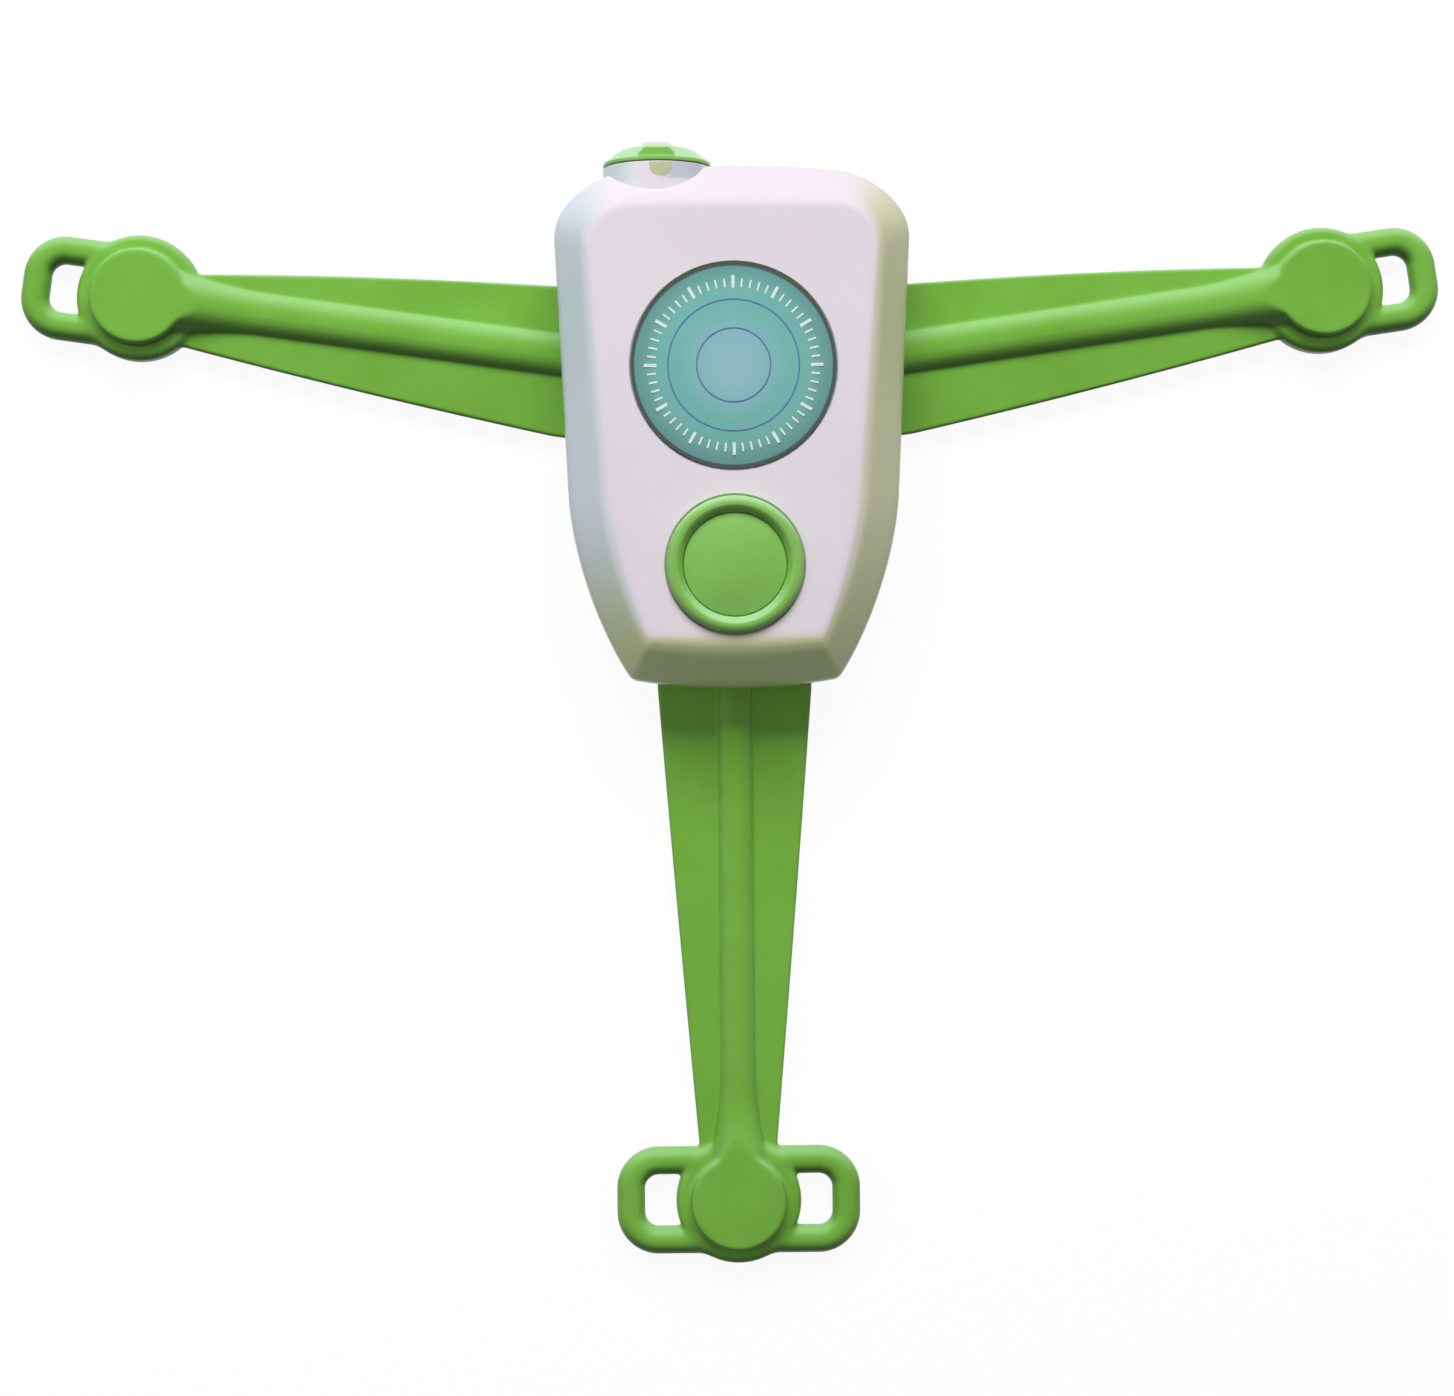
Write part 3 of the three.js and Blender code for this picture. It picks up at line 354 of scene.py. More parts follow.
@dataclass(frozen=True)
class DomeFinish(Finish):
    """A clear epoxy dome over a printed film: pale middle, teal field, dark green rim."""

    middle: str = "#8CBCCB"
    edge: str = "#4F8F8C"
    rim: str = "#16382A"
    centre_y: float = 10.0
    radius: float = 17.85
    pale_shares: tuple[float, float] = (0.1, 0.62)
    edge_shares: tuple[float, float] = (0.7, 0.97)
    rim_shares: tuple[float, float] = (0.955, 0.975)
    strength: float = 0.9

    def colouring(self, tree: bpy.types.NodeTree, place: Any) -> Any:
        """Rings of print about the label's centre."""
        cloud = self.noise(tree, place, self.mottle_size, 3).outputs[0]
        field = self.mixed(tree, cloud, linear(self.colour), linear(self.mottle))
        shift = {"Vector": place, "Location": (0, -self.centre_y * MM, 0), "Scale": (1, 1, 0)}
        centred = add_node(tree, "ShaderNodeMapping", inputs=shift).outputs[0]
        away = add_node(tree, "ShaderNodeVectorMath", {"operation": "LENGTH"}, {0: centred}).outputs["Value"]
        bands = (
            (self.pale_shares, (self.strength, 0), self.middle),
            (self.edge_shares, (0, self.strength), self.edge),
            (self.rim_shares, (0, 1), self.rim),
        )
        for shares, turns_to, colour in bands:
            span = [share * (self.radius * MM) for share in shares]
            field = self.mixed(tree, self.ranged(tree, away, (*span, *turns_to)), field, linear(colour))
        return field


@dataclass(frozen=True)
class BoardFinish(Finish):
    """Solder mask over copper: straight traces show through as a paler green."""

    pitch: float = 1.6
    gap_share: float = 0.06

    def colouring(self, tree: bpy.types.NodeTree, place: Any) -> Any:
        """Traces as the joints of a brick pattern."""
        inputs = {
            "Vector": place,
            "Color1": linear(self.colour),
            "Color2": linear(self.colour),
            "Mortar": linear(self.mottle),
            "Scale": 1 / (self.pitch * MM),
            "Mortar Size": self.gap_share,
        }
        return add_node(tree, "ShaderNodeTexBrick", inputs=inputs).outputs[0]


@dataclass(frozen=True)
class WrapFinish(Finish):
    """Printed foil round the cell: a bright band at its plus end."""

    band_y: float = 29.0
    band_blur: float = 0.2

    def colouring(self, tree: bpy.types.NodeTree, place: Any) -> Any:
        """The dark wrap, and the band past its edge."""
        edge, blur = self.band_y * MM, self.band_blur * MM
        share = self.ranged(tree, parted(tree, place)["Y"], (edge - blur, edge + blur, 0, 1))
        return self.mixed(tree, share, linear(self.colour), linear(self.mottle))


class Finishes:
    """Every finish of the recorder, each from the real material that it stands for; the housing and the
    greens also carry painted light and shade in their colour.
    """

    def __init__(self) -> None:
        """Builds the materials."""
        # Injection-moulded ABS, polished tool: a pinkish white with soft, clear reflections.
        # Its casts stand in for the light and reflections that the photograph shows on its bevels.
        self.housing = PaintedLightFinish(
            "moulded_abs_white", "#EBE2EA", "#E8DFE8", 26, 0.32, 0.02, 0.7, 0.002, coat=0.15,
        ).material()
        # Liquid silicone, satin tool: a full green that lets a little light in and never mirrors.
        # Its paler upper flanks are a painted highlight and its deeper lower flanks are painted shade.
        self.silicone = PaintedFlankShadingFinish(
            "moulded_silicone_green", "#7ABA46", "#74B23E", 18, 0.36, 0.04, 0.6, 0.006,
            subsurface=0.03, specular=0.22,
        ).material()
        # Moulded ABS in the same green, glossier than the silicone.
        # Paler upper flanks are a painted highlight and deeper lower flanks are painted shade, on the button,
        # its ring and the cap.
        self.button = PaintedFlankShadingFinish(
            "moulded_abs_green", "#80BF50", "#7BBA4B", 9, 0.28, 0.03, 0.5, 0.004, coat=0.3, specular=0.4,
            painted_highlight_colour="#C0EEBC", painted_shade_colour="#3A6A1C", painted_shade_share=0.65,
        ).material()
        # Two-part epoxy over print: deep, wet-looking gloss.
        self.label = DomeFinish(
            "epoxy_dome", "#69B7AE", "#5FADA6", 7, 0.12, 0.04, 0.9, 0.01, coat=0.8,
        ).material()
        # White screen ink, a little raised under the dome.
        self.tick_ink = Finish(
            "screen_ink_white", "#EAF3F0", "#DDEBE7", 1.5, 0.25, 0.05, 0.4, 0.01, coat=0.5,
        ).material()
        # Blue screen ink for the fine rings.
        self.ring_ink = Finish(
            "screen_ink_blue", "#4B74B4", "#4369A6", 1.5, 0.25, 0.05, 0.4, 0.01, coat=0.5,
        ).material()
        # Olive painted shadow that the cap's grip bar throws on the neck.
        self.bar_shadow_tint = Finish(
            "painted_shadow_olive", "#C3C79F", "#BCC099", 1.5, 0.45, 0.05, 0.4, 0.01,
        ).material()
        # A2 stainless, turned and tumbled.
        self.steel = Finish(
            "stainless_turned", "#C9CBCE", "#BFC1C4", 2, 0.24, 0.08, 0.3, 0.006, metallic=1.0,
        ).material()
        # Nickel-plated spring brass.
        self.contact = Finish(
            "plated_brass", "#D9C07A", "#CBB06A", 2, 0.26, 0.08, 0.3, 0.006, metallic=1.0,
        ).material()
        # Black NBR: matt, with a slight bloom.
        self.seal = Finish("nitrile_rubber", "#2E3033", "#393B3E", 3, 0.78, 0.08, 0.4, 0.02).material()
        # FR4 laminate under solder mask.
        self.board = BoardFinish(
            "solder_masked_laminate", "#1D5A37", "#2F7A4B", 4, 0.42, 0.06, 0.5, 0.01,
        ).material()
        # Transfer-moulded epoxy of chips and switch bodies.
        self.component = Finish("moulded_epoxy", "#1C1D20", "#25262A", 2, 0.6, 0.08, 0.25, 0.02).material()
        # Natural nylon: ivory, slightly waxy.
        self.inner_moulding = Finish(
            "natural_nylon", "#E7DFCC", "#DED5C0", 6, 0.5, 0.06, 0.5, 0.015, subsurface=0.1,
        ).material()
        # Printed foil of the cell, dark with a bright plus end.
        self.cell = WrapFinish(
            "printed_foil_wrap", "#2C3A55", "#C7A25A", 5, 0.3, 0.05, 0.5, 0.01, metallic=0.4,
        ).material()
        # Soft silicone-rubber sheath of the leads.
        self.lead = Finish("soft_lead_sheath", "#C9CCD0", "#C0C3C8", 3, 0.55, 0.06, 0.4, 0.01).material()


# Solids


def filleted(corners: Profile, steps: int = 5) -> list[tuple[float, float]]:
    """Rounds the corners of a profile.

    Args:
        corners: radius and height of each corner, and then its fillet, where it has one.
        steps: straight pieces in a fillet.

    Returns:
        The profile's points.
    """
    points = [np.array(corner[:2], float) for corner in corners]
    result = []
    for i, corner in enumerate(corners):
        fillet = corner[2] if len(corner) > 2 else 0.0
        if fillet <= 0 or i in (0, len(corners) - 1):
            result.append(tuple(points[i]))
            continue
        back = points[i - 1] - points[i]
        ahead = points[i + 1] - points[i]
        back /= np.linalg.norm(back)
        ahead /= np.linalg.norm(ahead)
        half = math.acos(float(np.clip(back @ ahead, -1, 1))) / 2
        middle = back + ahead
        centre = points[i] + middle / np.linalg.norm(middle) * fillet / math.sin(half)
        reach = fillet / math.tan(half)
        start = points[i] + back * reach - centre
        end = points[i] + ahead * reach - centre
        sweep = math.pi - 2 * half
        for step in range(steps + 1):
            share = step / steps
            first = math.sin((1 - share) * sweep) / math.sin(sweep)
            second = math.sin(share * sweep) / math.sin(sweep)
            result.append(tuple(centre + start * first + end * second))
    return result


def mesh_of(points: np.ndarray, faces: Sequence[Sequence[int]]) -> bpy.types.Mesh:
    """Makes a closed mesh whose faces point outwards.

    Args:
        points: its points.
        faces: the point numbers of each face, all turned the same way.

    Returns:
        The mesh.
    """
    volume = 0.0
    for face in faces:
        first = points[face[0]]
        for second, third in zip(face[1:-1], face[2:]):
            volume += float(np.dot(first, np.cross(points[second], points[third])))
    if volume < 0:
        faces = [tuple(reversed(face)) for face in faces]
    mesh = bpy.data.meshes.new("solid")
    mesh.from_pydata(points.tolist(), [], faces)
    mesh.update()
    return mesh


def turned(profile: Profile, steps: int = 96) -> bpy.types.Mesh:
    """Turns a profile about Z.

    Args:
        profile: radius and height of each point, either ending on the axis or closed on itself.
        steps: faces round the axis.

    Returns:
        The turned mesh.
    """
    closed = tuple(profile[0]) == tuple(profile[-1])
    rows = list(profile[:-1]) if closed else list(profile)
    points: list[tuple[float, float, float]] = []
    rings = []
    for radius, height in rows:
        if radius <= 0:
            rings.append([len(points)] * steps)
            points.append((0.0, 0.0, height))
            continue
        rings.append(list(range(len(points), len(points) + steps)))
        for i in range(steps):
            angle = 2 * math.pi * i / steps
            points.append((radius * math.cos(angle), radius * math.sin(angle), height))
    faces = []
    pairs = list(zip(rings, rings[1:])) + ([(rings[-1], rings[0])] if closed else [])
    for low, high in pairs:
        for i in range(steps):
            j = (i + 1) % steps
            corners = list(dict.fromkeys((low[i], low[j], high[j], high[i])))
            if len(corners) > 2:
                faces.append(tuple(corners))
    return mesh_of(np.array(points), faces)


def rod(radius: float, low: float, high: float, steps: int = 48) -> bpy.types.Mesh:
    """A plain round rod along Z, for cutting with."""
    return turned([(0, low), (radius, low), (radius, high), (0, high)], steps)


def lofted(rings: Sequence[np.ndarray]) -> bpy.types.Mesh:
    """Skins rings of as many points each, closed at both ends.

    Args:
        rings: the rings, each as an array of points in space.

    Returns:
        The skin.
    """
    count = len(rings[0])
    points = np.concatenate(list(rings))
    faces = []
    for ring in range(len(rings) - 1):
        for i in range(count):
            a = ring * count + i
            b = ring * count + (i + 1) % count
            faces.append((a, b, b + count, a + count))
    last = (len(rings) - 1) * count
    faces.append(tuple(reversed(range(count))))
    faces.append(tuple(range(last, last + count)))
    return mesh_of(points, faces)


def block(low: Sequence[float], high: Sequence[float]) -> bpy.types.Mesh:
    """A box between two corners, for cutting with or inside a cover."""
    flat = [(low[0], low[1]), (high[0], low[1]), (high[0], high[1]), (low[0], high[1])]
    rings = [np.array([(*corner, z) for corner in flat], float) for z in (low[2], high[2])]
    return lofted(rings)


def laid_on_neck(x: float, z: float) -> Matrix:
    """Lays an axis that stands on Z along the neck, whose own axis runs along Y."""
    return Matrix.Translation((x, 0, z)) @ Matrix.Rotation(-math.pi / 2, 4, "X")


def quarter_turn(steps: int) -> list[float]:
    """Even angles from 0 to a right angle."""
    return [math.pi / 2 * step / steps for step in range(steps + 1)]


def moved(mesh: bpy.types.Mesh, matrix: Matrix) -> bpy.types.Mesh:
    """The same mesh, moved by a matrix in millimetres."""
    mesh.transform(matrix)
    return mesh


def shifted(mesh: bpy.types.Mesh, x: float, y: float, z: float = 0.0) -> bpy.types.Mesh:
    """The same mesh, shifted."""
    return moved(mesh, Matrix.Translation((x, y, z)))


def worked(whole: bpy.types.Mesh, tools: Sequence[bpy.types.Mesh], operation: Operation) -> bpy.types.Mesh:
    """Joins solids to a solid or cuts them from it.

    Args:
        whole: the solid to work on.
        tools: the solids to join or cut with.
        operation: which of the two.

    Returns:
        The result.
    """
    scene = bpy.context.scene
    for tool in tools:
        body = bpy.data.objects.new("work_body", whole)
        cutter = bpy.data.objects.new("work_tool", tool)
        scene.collection.objects.link(body)
        scene.collection.objects.link(cutter)
        modifier = body.modifiers.new("work", "BOOLEAN")
        modifier.operation = operation.value
        modifier.solver = "MANIFOLD"
        modifier.object = cutter
        bpy.context.view_layer.update()
        graph = bpy.context.evaluated_depsgraph_get()
        whole = bpy.data.meshes.new_from_object(body.evaluated_get(graph))
        bpy.data.objects.remove(body)
        bpy.data.objects.remove(cutter)
    return whole


def piece(
    name: str,
    mesh: bpy.types.Mesh,
    material: bpy.types.Material,
    sharp_angle: Optional[float] = None,
) -> bpy.types.Object:
    """Makes a finished piece, at the origin and in metres.

    Args:
        name: the piece's name.
        mesh: its mesh, in millimetres.
        material: its material.
        sharp_angle: edges that turn by more degrees than this stay sharp.

    Returns:
        The new object.
    """
    mesh.name = name
    mesh.transform(Matrix.Scale(MM, 4))
    mesh.materials.clear()
    mesh.materials.append(material)
    mesh.polygons.foreach_set("use_smooth", [True] * len(mesh.polygons))
    mesh.polygons.foreach_set("material_index", [0] * len(mesh.polygons))
    if sharp_angle is not None:
        mesh.set_sharp_from_angle(angle=math.radians(sharp_angle))
    mesh.update()
    obj = bpy.data.objects.new(name, mesh)
    bpy.context.scene.collection.objects.link(obj)
    return obj


def report(obj: bpy.types.Object) -> None:
    """Logs a piece and its count of faces."""
    log.info("%s: %d faces", obj.name, len(obj.data.polygons))


# Smooth forms from distance fields


def rounded_slab(flat: np.ndarray, upright: np.ndarray, edge: float) -> np.ndarray:
    """A flat outline with thickness, its edges rounded.

    Args:
        flat: distance to the outline in plan.
        upright: distance to the slab's faces.
        edge: radius of its edges.

    Returns:
        Distance to the slab.
    """
    a = flat + edge
    b = upright + edge
    return np.minimum(np.maximum(a, b), 0) + np.hypot(np.maximum(a, 0), np.maximum(b, 0)) - edge


def disc(away: np.ndarray, z: np.ndarray, radius: float, low: float, high: float, edge: float) -> np.ndarray:
    """A disc with rounded edges, from distances away from its axis and along it."""
    upright = np.abs(z - (low + high) / 2) - (high - low) / 2
    return rounded_slab(away - radius, upright, edge)


def merged(first: np.ndarray, second: np.ndarray, fillet: float) -> np.ndarray:
    """Two fields joined with a fillet where they meet."""
    lap = np.maximum(fillet - np.abs(first - second), 0) / fillet
    return np.minimum(first, second) - lap * lap * fillet / 4


def carved(first: np.ndarray, second: np.ndarray, fillet: float) -> np.ndarray:
    """The first field without the second, its new edges rounded."""
    return -merged(-first, second, fillet)


def outline_distance(spots: np.ndarray, outline: np.ndarray) -> np.ndarray:
    """Distance to a closed outline in plan, below 0 inside it.

    Args:
        spots: points in plan.
        outline: its corners in order.

    Returns:
        One distance for each point.
    """
    best = np.full(len(spots), np.inf)
    inside = np.zeros(len(spots), bool)
    for start, end in zip(outline, np.roll(outline, -1, axis=0)):
        along = end - start
        offset = spots - start
        share = np.clip(offset @ along / (along @ along), 0, 1)
        gap = offset - share[:, None] * along
        best = np.minimum(best, np.einsum("ij,ij->i", gap, gap))
        crossing = (start[1] > spots[:, 1]) != (end[1] > spots[:, 1])
        if start[1] != end[1]:
            side = start[0] + (spots[:, 1] - start[1]) * along[0] / along[1]
            inside ^= crossing & (spots[:, 0] < side)
    distance = np.sqrt(best)
    return np.where(inside, -distance, distance)


def skinned(field: Field, low: Sequence[float], high: Sequence[float], step: float) -> bpy.types.Mesh:
    """Wraps quads round the space where a field is below 0, and settles them on its surface.

    Args:
        field: gives the distance at each of many points.
        low: lowest corner of the space to search.
        high: highest corner.
        step: size of a face.

    Returns:
        The closed mesh.
    """
    axes = [np.arange(a, b + step, step) for a, b in zip(low, high)]
    nodes = np.stack(np.meshgrid(*axes, indexing="ij"), -1)
    values = field(nodes.reshape(-1, 3)).reshape(nodes.shape[:3])
    cells = np.array(values.shape) - 1
    total = np.zeros((int(cells.prod()), 3))
    hits = np.zeros(int(cells.prod()))
    quads = []
    for axis in range(3):
        count = values.shape[axis]
        near = np.take(values, range(count - 1), axis)
        far = np.take(values, range(1, count), axis)
        where = np.argwhere((near < 0) != (far < 0))
        a = near[tuple(where.T)]
        b = far[tuple(where.T)]
        crossing = where.astype(float)
        crossing[:, axis] += a / (a - b)
        u, v = (axis + 1) % 3, (axis + 2) % 3
        around = []
        for du, dv in ((0, 0), (1, 0), (1, 1), (0, 1)):
            cell = where.copy()
            cell[:, u] -= du
            cell[:, v] -= dv
            number = np.ravel_multi_index(tuple(cell.T), tuple(cells))
            np.add.at(total, number, crossing)
            np.add.at(hits, number, 1)
            around.append(number)
        quad = np.stack(around, 1)
        quad[a >= 0] = quad[a >= 0, ::-1]
        quads.append(quad)
    used = np.flatnonzero(hits)
    order = np.full(len(hits), -1)
    order[used] = np.arange(len(used))
    points = np.array(low, float) + step * total[used] / hits[used, None]
    points = settled(field, points, step)
    faces = order[np.concatenate(quads)]
    mesh = bpy.data.meshes.new("skin")
    mesh.from_pydata(points.tolist(), [], faces.tolist())
    mesh.update()
    return mesh


def settled(field: Field, points: np.ndarray, step: float, rounds: int = 3) -> np.ndarray:
    """Moves points on to a field's surface.

    Args:
        field: gives the distance at each of many points.
        points: the points.
        step: size of a face; a point moves by less than half of it each round.
        rounds: how often the points are moved.

    Returns:
        The moved points.
    """
    probe, least = 0.03, 0.05
    for _ in range(rounds):
        value = field(points)
        slope = np.stack([
            (field(points + probe * axis) - field(points - probe * axis)) / (2 * probe)
            for axis in np.eye(3)
        ], 1)
        size = np.maximum(np.einsum("ij,ij->i", slope, slope), least)
        move = -(value / size)[:, None] * slope
        length = np.maximum(np.linalg.norm(move, axis=1), 1e-9)
        points = points + move * np.minimum(1, step / 2 / length)[:, None]
    return points


# Geometry Nodes


class NodeRecipe:
    """A Geometry Nodes tree with named sizes, run once on a bare mesh of points."""

    def __init__(self, name: str) -> None:
        """Starts an empty tree.

        Args:
            name: the tree's name.
        """
        self.tree = bpy.data.node_groups.new(name, "GeometryNodeTree")
        self.tree.interface.new_socket("Geometry", in_out="INPUT", socket_type="NodeSocketGeometry")
        self.tree.interface.new_socket("Geometry", in_out="OUTPUT", socket_type="NodeSocketGeometry")
        self.values: dict[str, Any] = {}
        self.entry = self.tree.nodes.new("NodeGroupInput")

    def size(self, name: str, value: float) -> bpy.types.NodeSocket:
        """Adds a named length in millimetres.

        Args:
            name: the input's name.
            value: the length.

        Returns:
            The socket that gives it, in metres.
        """
        item = self.tree.interface.new_socket(name, in_out="INPUT", socket_type="NodeSocketFloat")
        self.values[item.identifier] = value * MM
        return self.entry.outputs[name]

    def count(self, name: str, value: int) -> bpy.types.NodeSocket:
        """Adds a named whole number.

        Args:
            name: the input's name.
            value: the number.

        Returns:
            The socket that gives it.
        """
        item = self.tree.interface.new_socket(name, in_out="INPUT", socket_type="NodeSocketInt")
        self.values[item.identifier] = value
        return self.entry.outputs[name]

    def add(
        self, kind: str, settings: Optional[dict[str, Any]] = None, inputs: Optional[dict[Any, Any]] = None,
    ) -> Any:
        """Adds a node and gives its outputs."""
        return add_node(self.tree, kind, settings, inputs).outputs

    def vector(self, x: Any, y: Any, z: Any) -> Any:
        """The socket of a vector, from numbers or sockets."""
        return self.add("ShaderNodeCombineXYZ", inputs={"X": x, "Y": y, "Z": z})[0]

    def carried(self, shape: Any, place: Any) -> Any:
        """The socket of a shape, moved to a place."""
        return self.add("GeometryNodeTransform", inputs={"Geometry": shape, "Translation": place})[0]

    def run(self, name: str, shape: Any, points: Profile, material: bpy.types.Material) -> bpy.types.Object:
        """Ends the tree in real, painted geometry and makes a plain piece of it.

        Args:
            name: the piece's name.
            shape: the socket of the finished shape.
            points: the points that the tree starts from, in millimetres.
            material: the piece's material.

        Returns:
            The new object.
        """
        real = self.add("GeometryNodeRealizeInstances", inputs={"Geometry": shape})
        painted = self.add("GeometryNodeSetMaterial", inputs={"Geometry": real[0], "Material": material})
        add_node(self.tree, "NodeGroupOutput", inputs={0: painted[0]})
        base = bpy.data.meshes.new(name + "_points")
        base.from_pydata([tuple(value * MM for value in point) for point in points], [], [])
        maker = bpy.data.objects.new(name + "_maker", base)
        bpy.context.scene.collection.objects.link(maker)
        modifier = maker.modifiers.new("recipe", "NODES")
        modifier.node_group = self.tree
        for identifier, value in self.values.items():
            modifier[identifier] = value
        bpy.context.view_layer.update()
        graph = bpy.context.evaluated_depsgraph_get()
        mesh = bpy.data.meshes.new_from_object(maker.evaluated_get(graph))
        maker.modifiers.remove(modifier)
        bpy.data.objects.remove(maker)
        mesh.transform(Matrix.Scale(1 / MM, 4))
        return piece(name, mesh, material, 32)


# Housing

BODY_SHARES = (
    ((0, 1),),
    ((0.38, 1), (0.62, 0.978)),
    ((0.77, 0.961), (1.01, 0.859), (1, 0.717)),
    ((0.965, 0.22), (0.93, -0.276)),
    ((0.901, -0.522), (0.748, -0.793), (0.601, -0.946)),
    ((0.581, -0.967), (0.543, -0.97)),
    ((0.288, -1), (0, -1)),
)
PLATEAU_SHARES = (
    ((0, 1),),
    ((0.4, 1), (0.694, 0.996)),
    ((0.893, 0.99), (1, 0.92), (1, 0.79)),
    ((0.929, 0.223), (0.859, -0.342)),
    ((0.829, -0.544), (0.687, -0.855), (0.597, -0.974)),
    ((0.587, -0.985), (0.571, -0.9855)),
    ((0.278, -1), (0, -1)),
)
BEVEL_SHARES = (
    (0, -0.16), (0.02, 0.03), (0.08, 0.16), (0.3, 0.39), (0.56, 0.65), (0.76, 0.84), (0.9, 0.93),
    (1.02, 0.98), (1.16, 1),
)
OUTLINE_STEPS = (10, 22, 12, 26, 6, 10)
RIM_EASE = ((0.35, 0), (0.1, 0.12), (0, 0.4))


def outline_points(shares: Sequence[Any], half_width: float, top: float, bottom: float) -> np.ndarray:
    """The whole outline of the housing or its plateau, as a ring in plan.

    Args:
        shares: its stretches, each a Bezier curve's control points and end.
        half_width: what a share of 1 across stands for.
        top: its top level.
        bottom: its bottom level.

    Returns:
        Its points, round once.
    """
    middle = (top + bottom) / 2
    scale = np.array([half_width, (top - bottom) / 2])
    start = np.array(shares[0][0], float) * scale + (0, middle)
    right = []
    for stretch, steps in zip(shares[1:], OUTLINE_STEPS):
        controls = [start] + [np.array(share, float) * scale + (0, middle) for share in stretch]
        for step in range(steps):
            t = step / steps
            row = controls
            while len(row) > 1:
                row = [a + (b - a) * t for a, b in zip(row, row[1:])]
            right.append(row[0])
        start = controls[-1]
    left = [point * (-1, 1) for point in reversed(right[1:])]
    return np.array(right + [start] + left)


@dataclass
class Housing:
    """The two covers, with the battery neck, and the screws that hold them together."""

    half_width: float = 31.3
    half_height: float = 46.0
    depth: float = 22.0
    wall: float = 2.2
    face_wall: float = 2.0
    draft: float = 0.3
    bevel_height: float = 8.0
    bevel_side: float = 6.1
    bevel_top: float = 7.3
    bevel_bottom: float = 7.5
    skirt_wall: float = 1.0
    rear_thickness: float = 1.6
    rear_inset: float = 0.3
    rear_round: float = 1.4
    floor_z: float = 2.2
    rim_z: float = 1.9
    neck_x: float = -13.1
    neck_z: float = 10.4
    neck_radius: float = 9.55
    neck_end_y: float = 38.0
    neck_round: float = 0.2
    tube_bore: float = 7.55
    tube_radius: float = 8.45
    tube_end_y: float = -14.6
    saddle_depth: float = 5.0
    saddle_thickness: float = 1.6
    board_bottom: float = 9.8
    board_top: float = 11.0
    post_radius: float = 2.8
    post_bore: float = 1.3
    post_top: float = 16.5
    screw_top: float = 15.0
    counterbore: float = 2.0
    screw_head: float = 2.0
    screw_head_height: float = 1.4
    screw_ease: float = 0.35
    screw_shank: float = 1.0
    screw_slot: tuple[float, float, float] = (0.45, 2.3, 1.4)
    label_radius: float = 17.85
    label_y: float = 10.0
    label_recess: float = 0.5
    ring_radius: float = 12.0
    sleeve_radius: float = 10.2
    button_y: float = -24.5
    ring_recess: float = 0.7
    recess_gap: float = 0.12
    recess_edge: float = 0.25
    posts: tuple[tuple[float, float], ...] = ((-25.2, 33), (25.2, 33), (-16.8, -34), (16.8, -34))
    saddles: tuple[float, ...] = (27.0, -6.0)
    # The mark is a painted shadow of the cap's grip bar on the neck's front.
    mark_top: float = 0.2
    mark_length: float = 2.5
    mark_half_width: float = 2.0
    mark_shift: float = 0.7
    mark_thickness: float = 0.03
    mark_straight: float = 0.3

    def body(self, inset: float) -> np.ndarray:
        """The outline of the body, drawn in by an inset."""
        high = self.half_height - inset
        return outline_points(BODY_SHARES, self.half_width - inset, high, -high)

    def plateau(self, inset: float) -> np.ndarray:
        """The outline of the plateau, drawn in by an inset."""
        wide = self.half_width - self.bevel_side - inset
        high = self.half_height - self.bevel_top - inset
        low = self.half_height - self.bevel_bottom - inset
        return outline_points(PLATEAU_SHARES, wide, high, -low)

    def level(self, outline: np.ndarray, z: float) -> np.ndarray:
        """An outline at a level."""
        return np.column_stack([outline, np.full(len(outline), z)])

    def bevel_profile(self, steps: int = 4) -> list[np.ndarray]:
        """The bevel's section as a smooth curve through its shares.

        Args:
            steps: points in each stretch.

        Returns:
            Pairs of how far in and how far up.
        """
        knots = [np.array(share, float) for share in BEVEL_SHARES]
        knots = [2 * knots[0] - knots[1], *knots, knots[-1] * (2, 1) - knots[-2] * (1, 0)]
        curve = []
        for a, b, c, d in zip(knots, knots[1:], knots[2:], knots[3:]):
            for step in range(steps):
                t = step / steps
                curve.append(
                    0.5 * (2 * b + (c - a) * t + (2 * a - 5 * b + 4 * c - d) * t ** 2
                           + (3 * b - a - 3 * c + d) * t ** 3)
                )
        curve.append(knots[-2])
        return [np.minimum(point, (9, 1)) for point in curve]

    def bevel_ring(self, inward: float, upward: float) -> np.ndarray:
        """A ring on the bevel, by shares of the way in and up."""
        foot = self.body(0)
        flat = foot + (self.plateau(0) - foot) * inward
        return self.level(flat, self.depth - self.bevel_height + upward * self.bevel_height)

    def on_neck(self, profile: Profile, steps: int = 96) -> bpy.types.Mesh:
        """A profile turned about the neck's axis, its heights along Y."""
        return moved(turned(profile, steps), laid_on_neck(self.neck_x, self.neck_z))

    def neck_rod(self, radius: float, low: float, high: float) -> bpy.types.Mesh:
        """A plain round cutter along the neck's axis."""
        return self.on_neck([(0, low), (radius, low), (radius, high), (0, high)])

    def at_posts(self, mesh: bpy.types.Mesh) -> list[bpy.types.Mesh]:
        """A copy of a mesh at each of the four posts."""
        return [shifted(mesh.copy(), x, y) for x, y in self.posts]

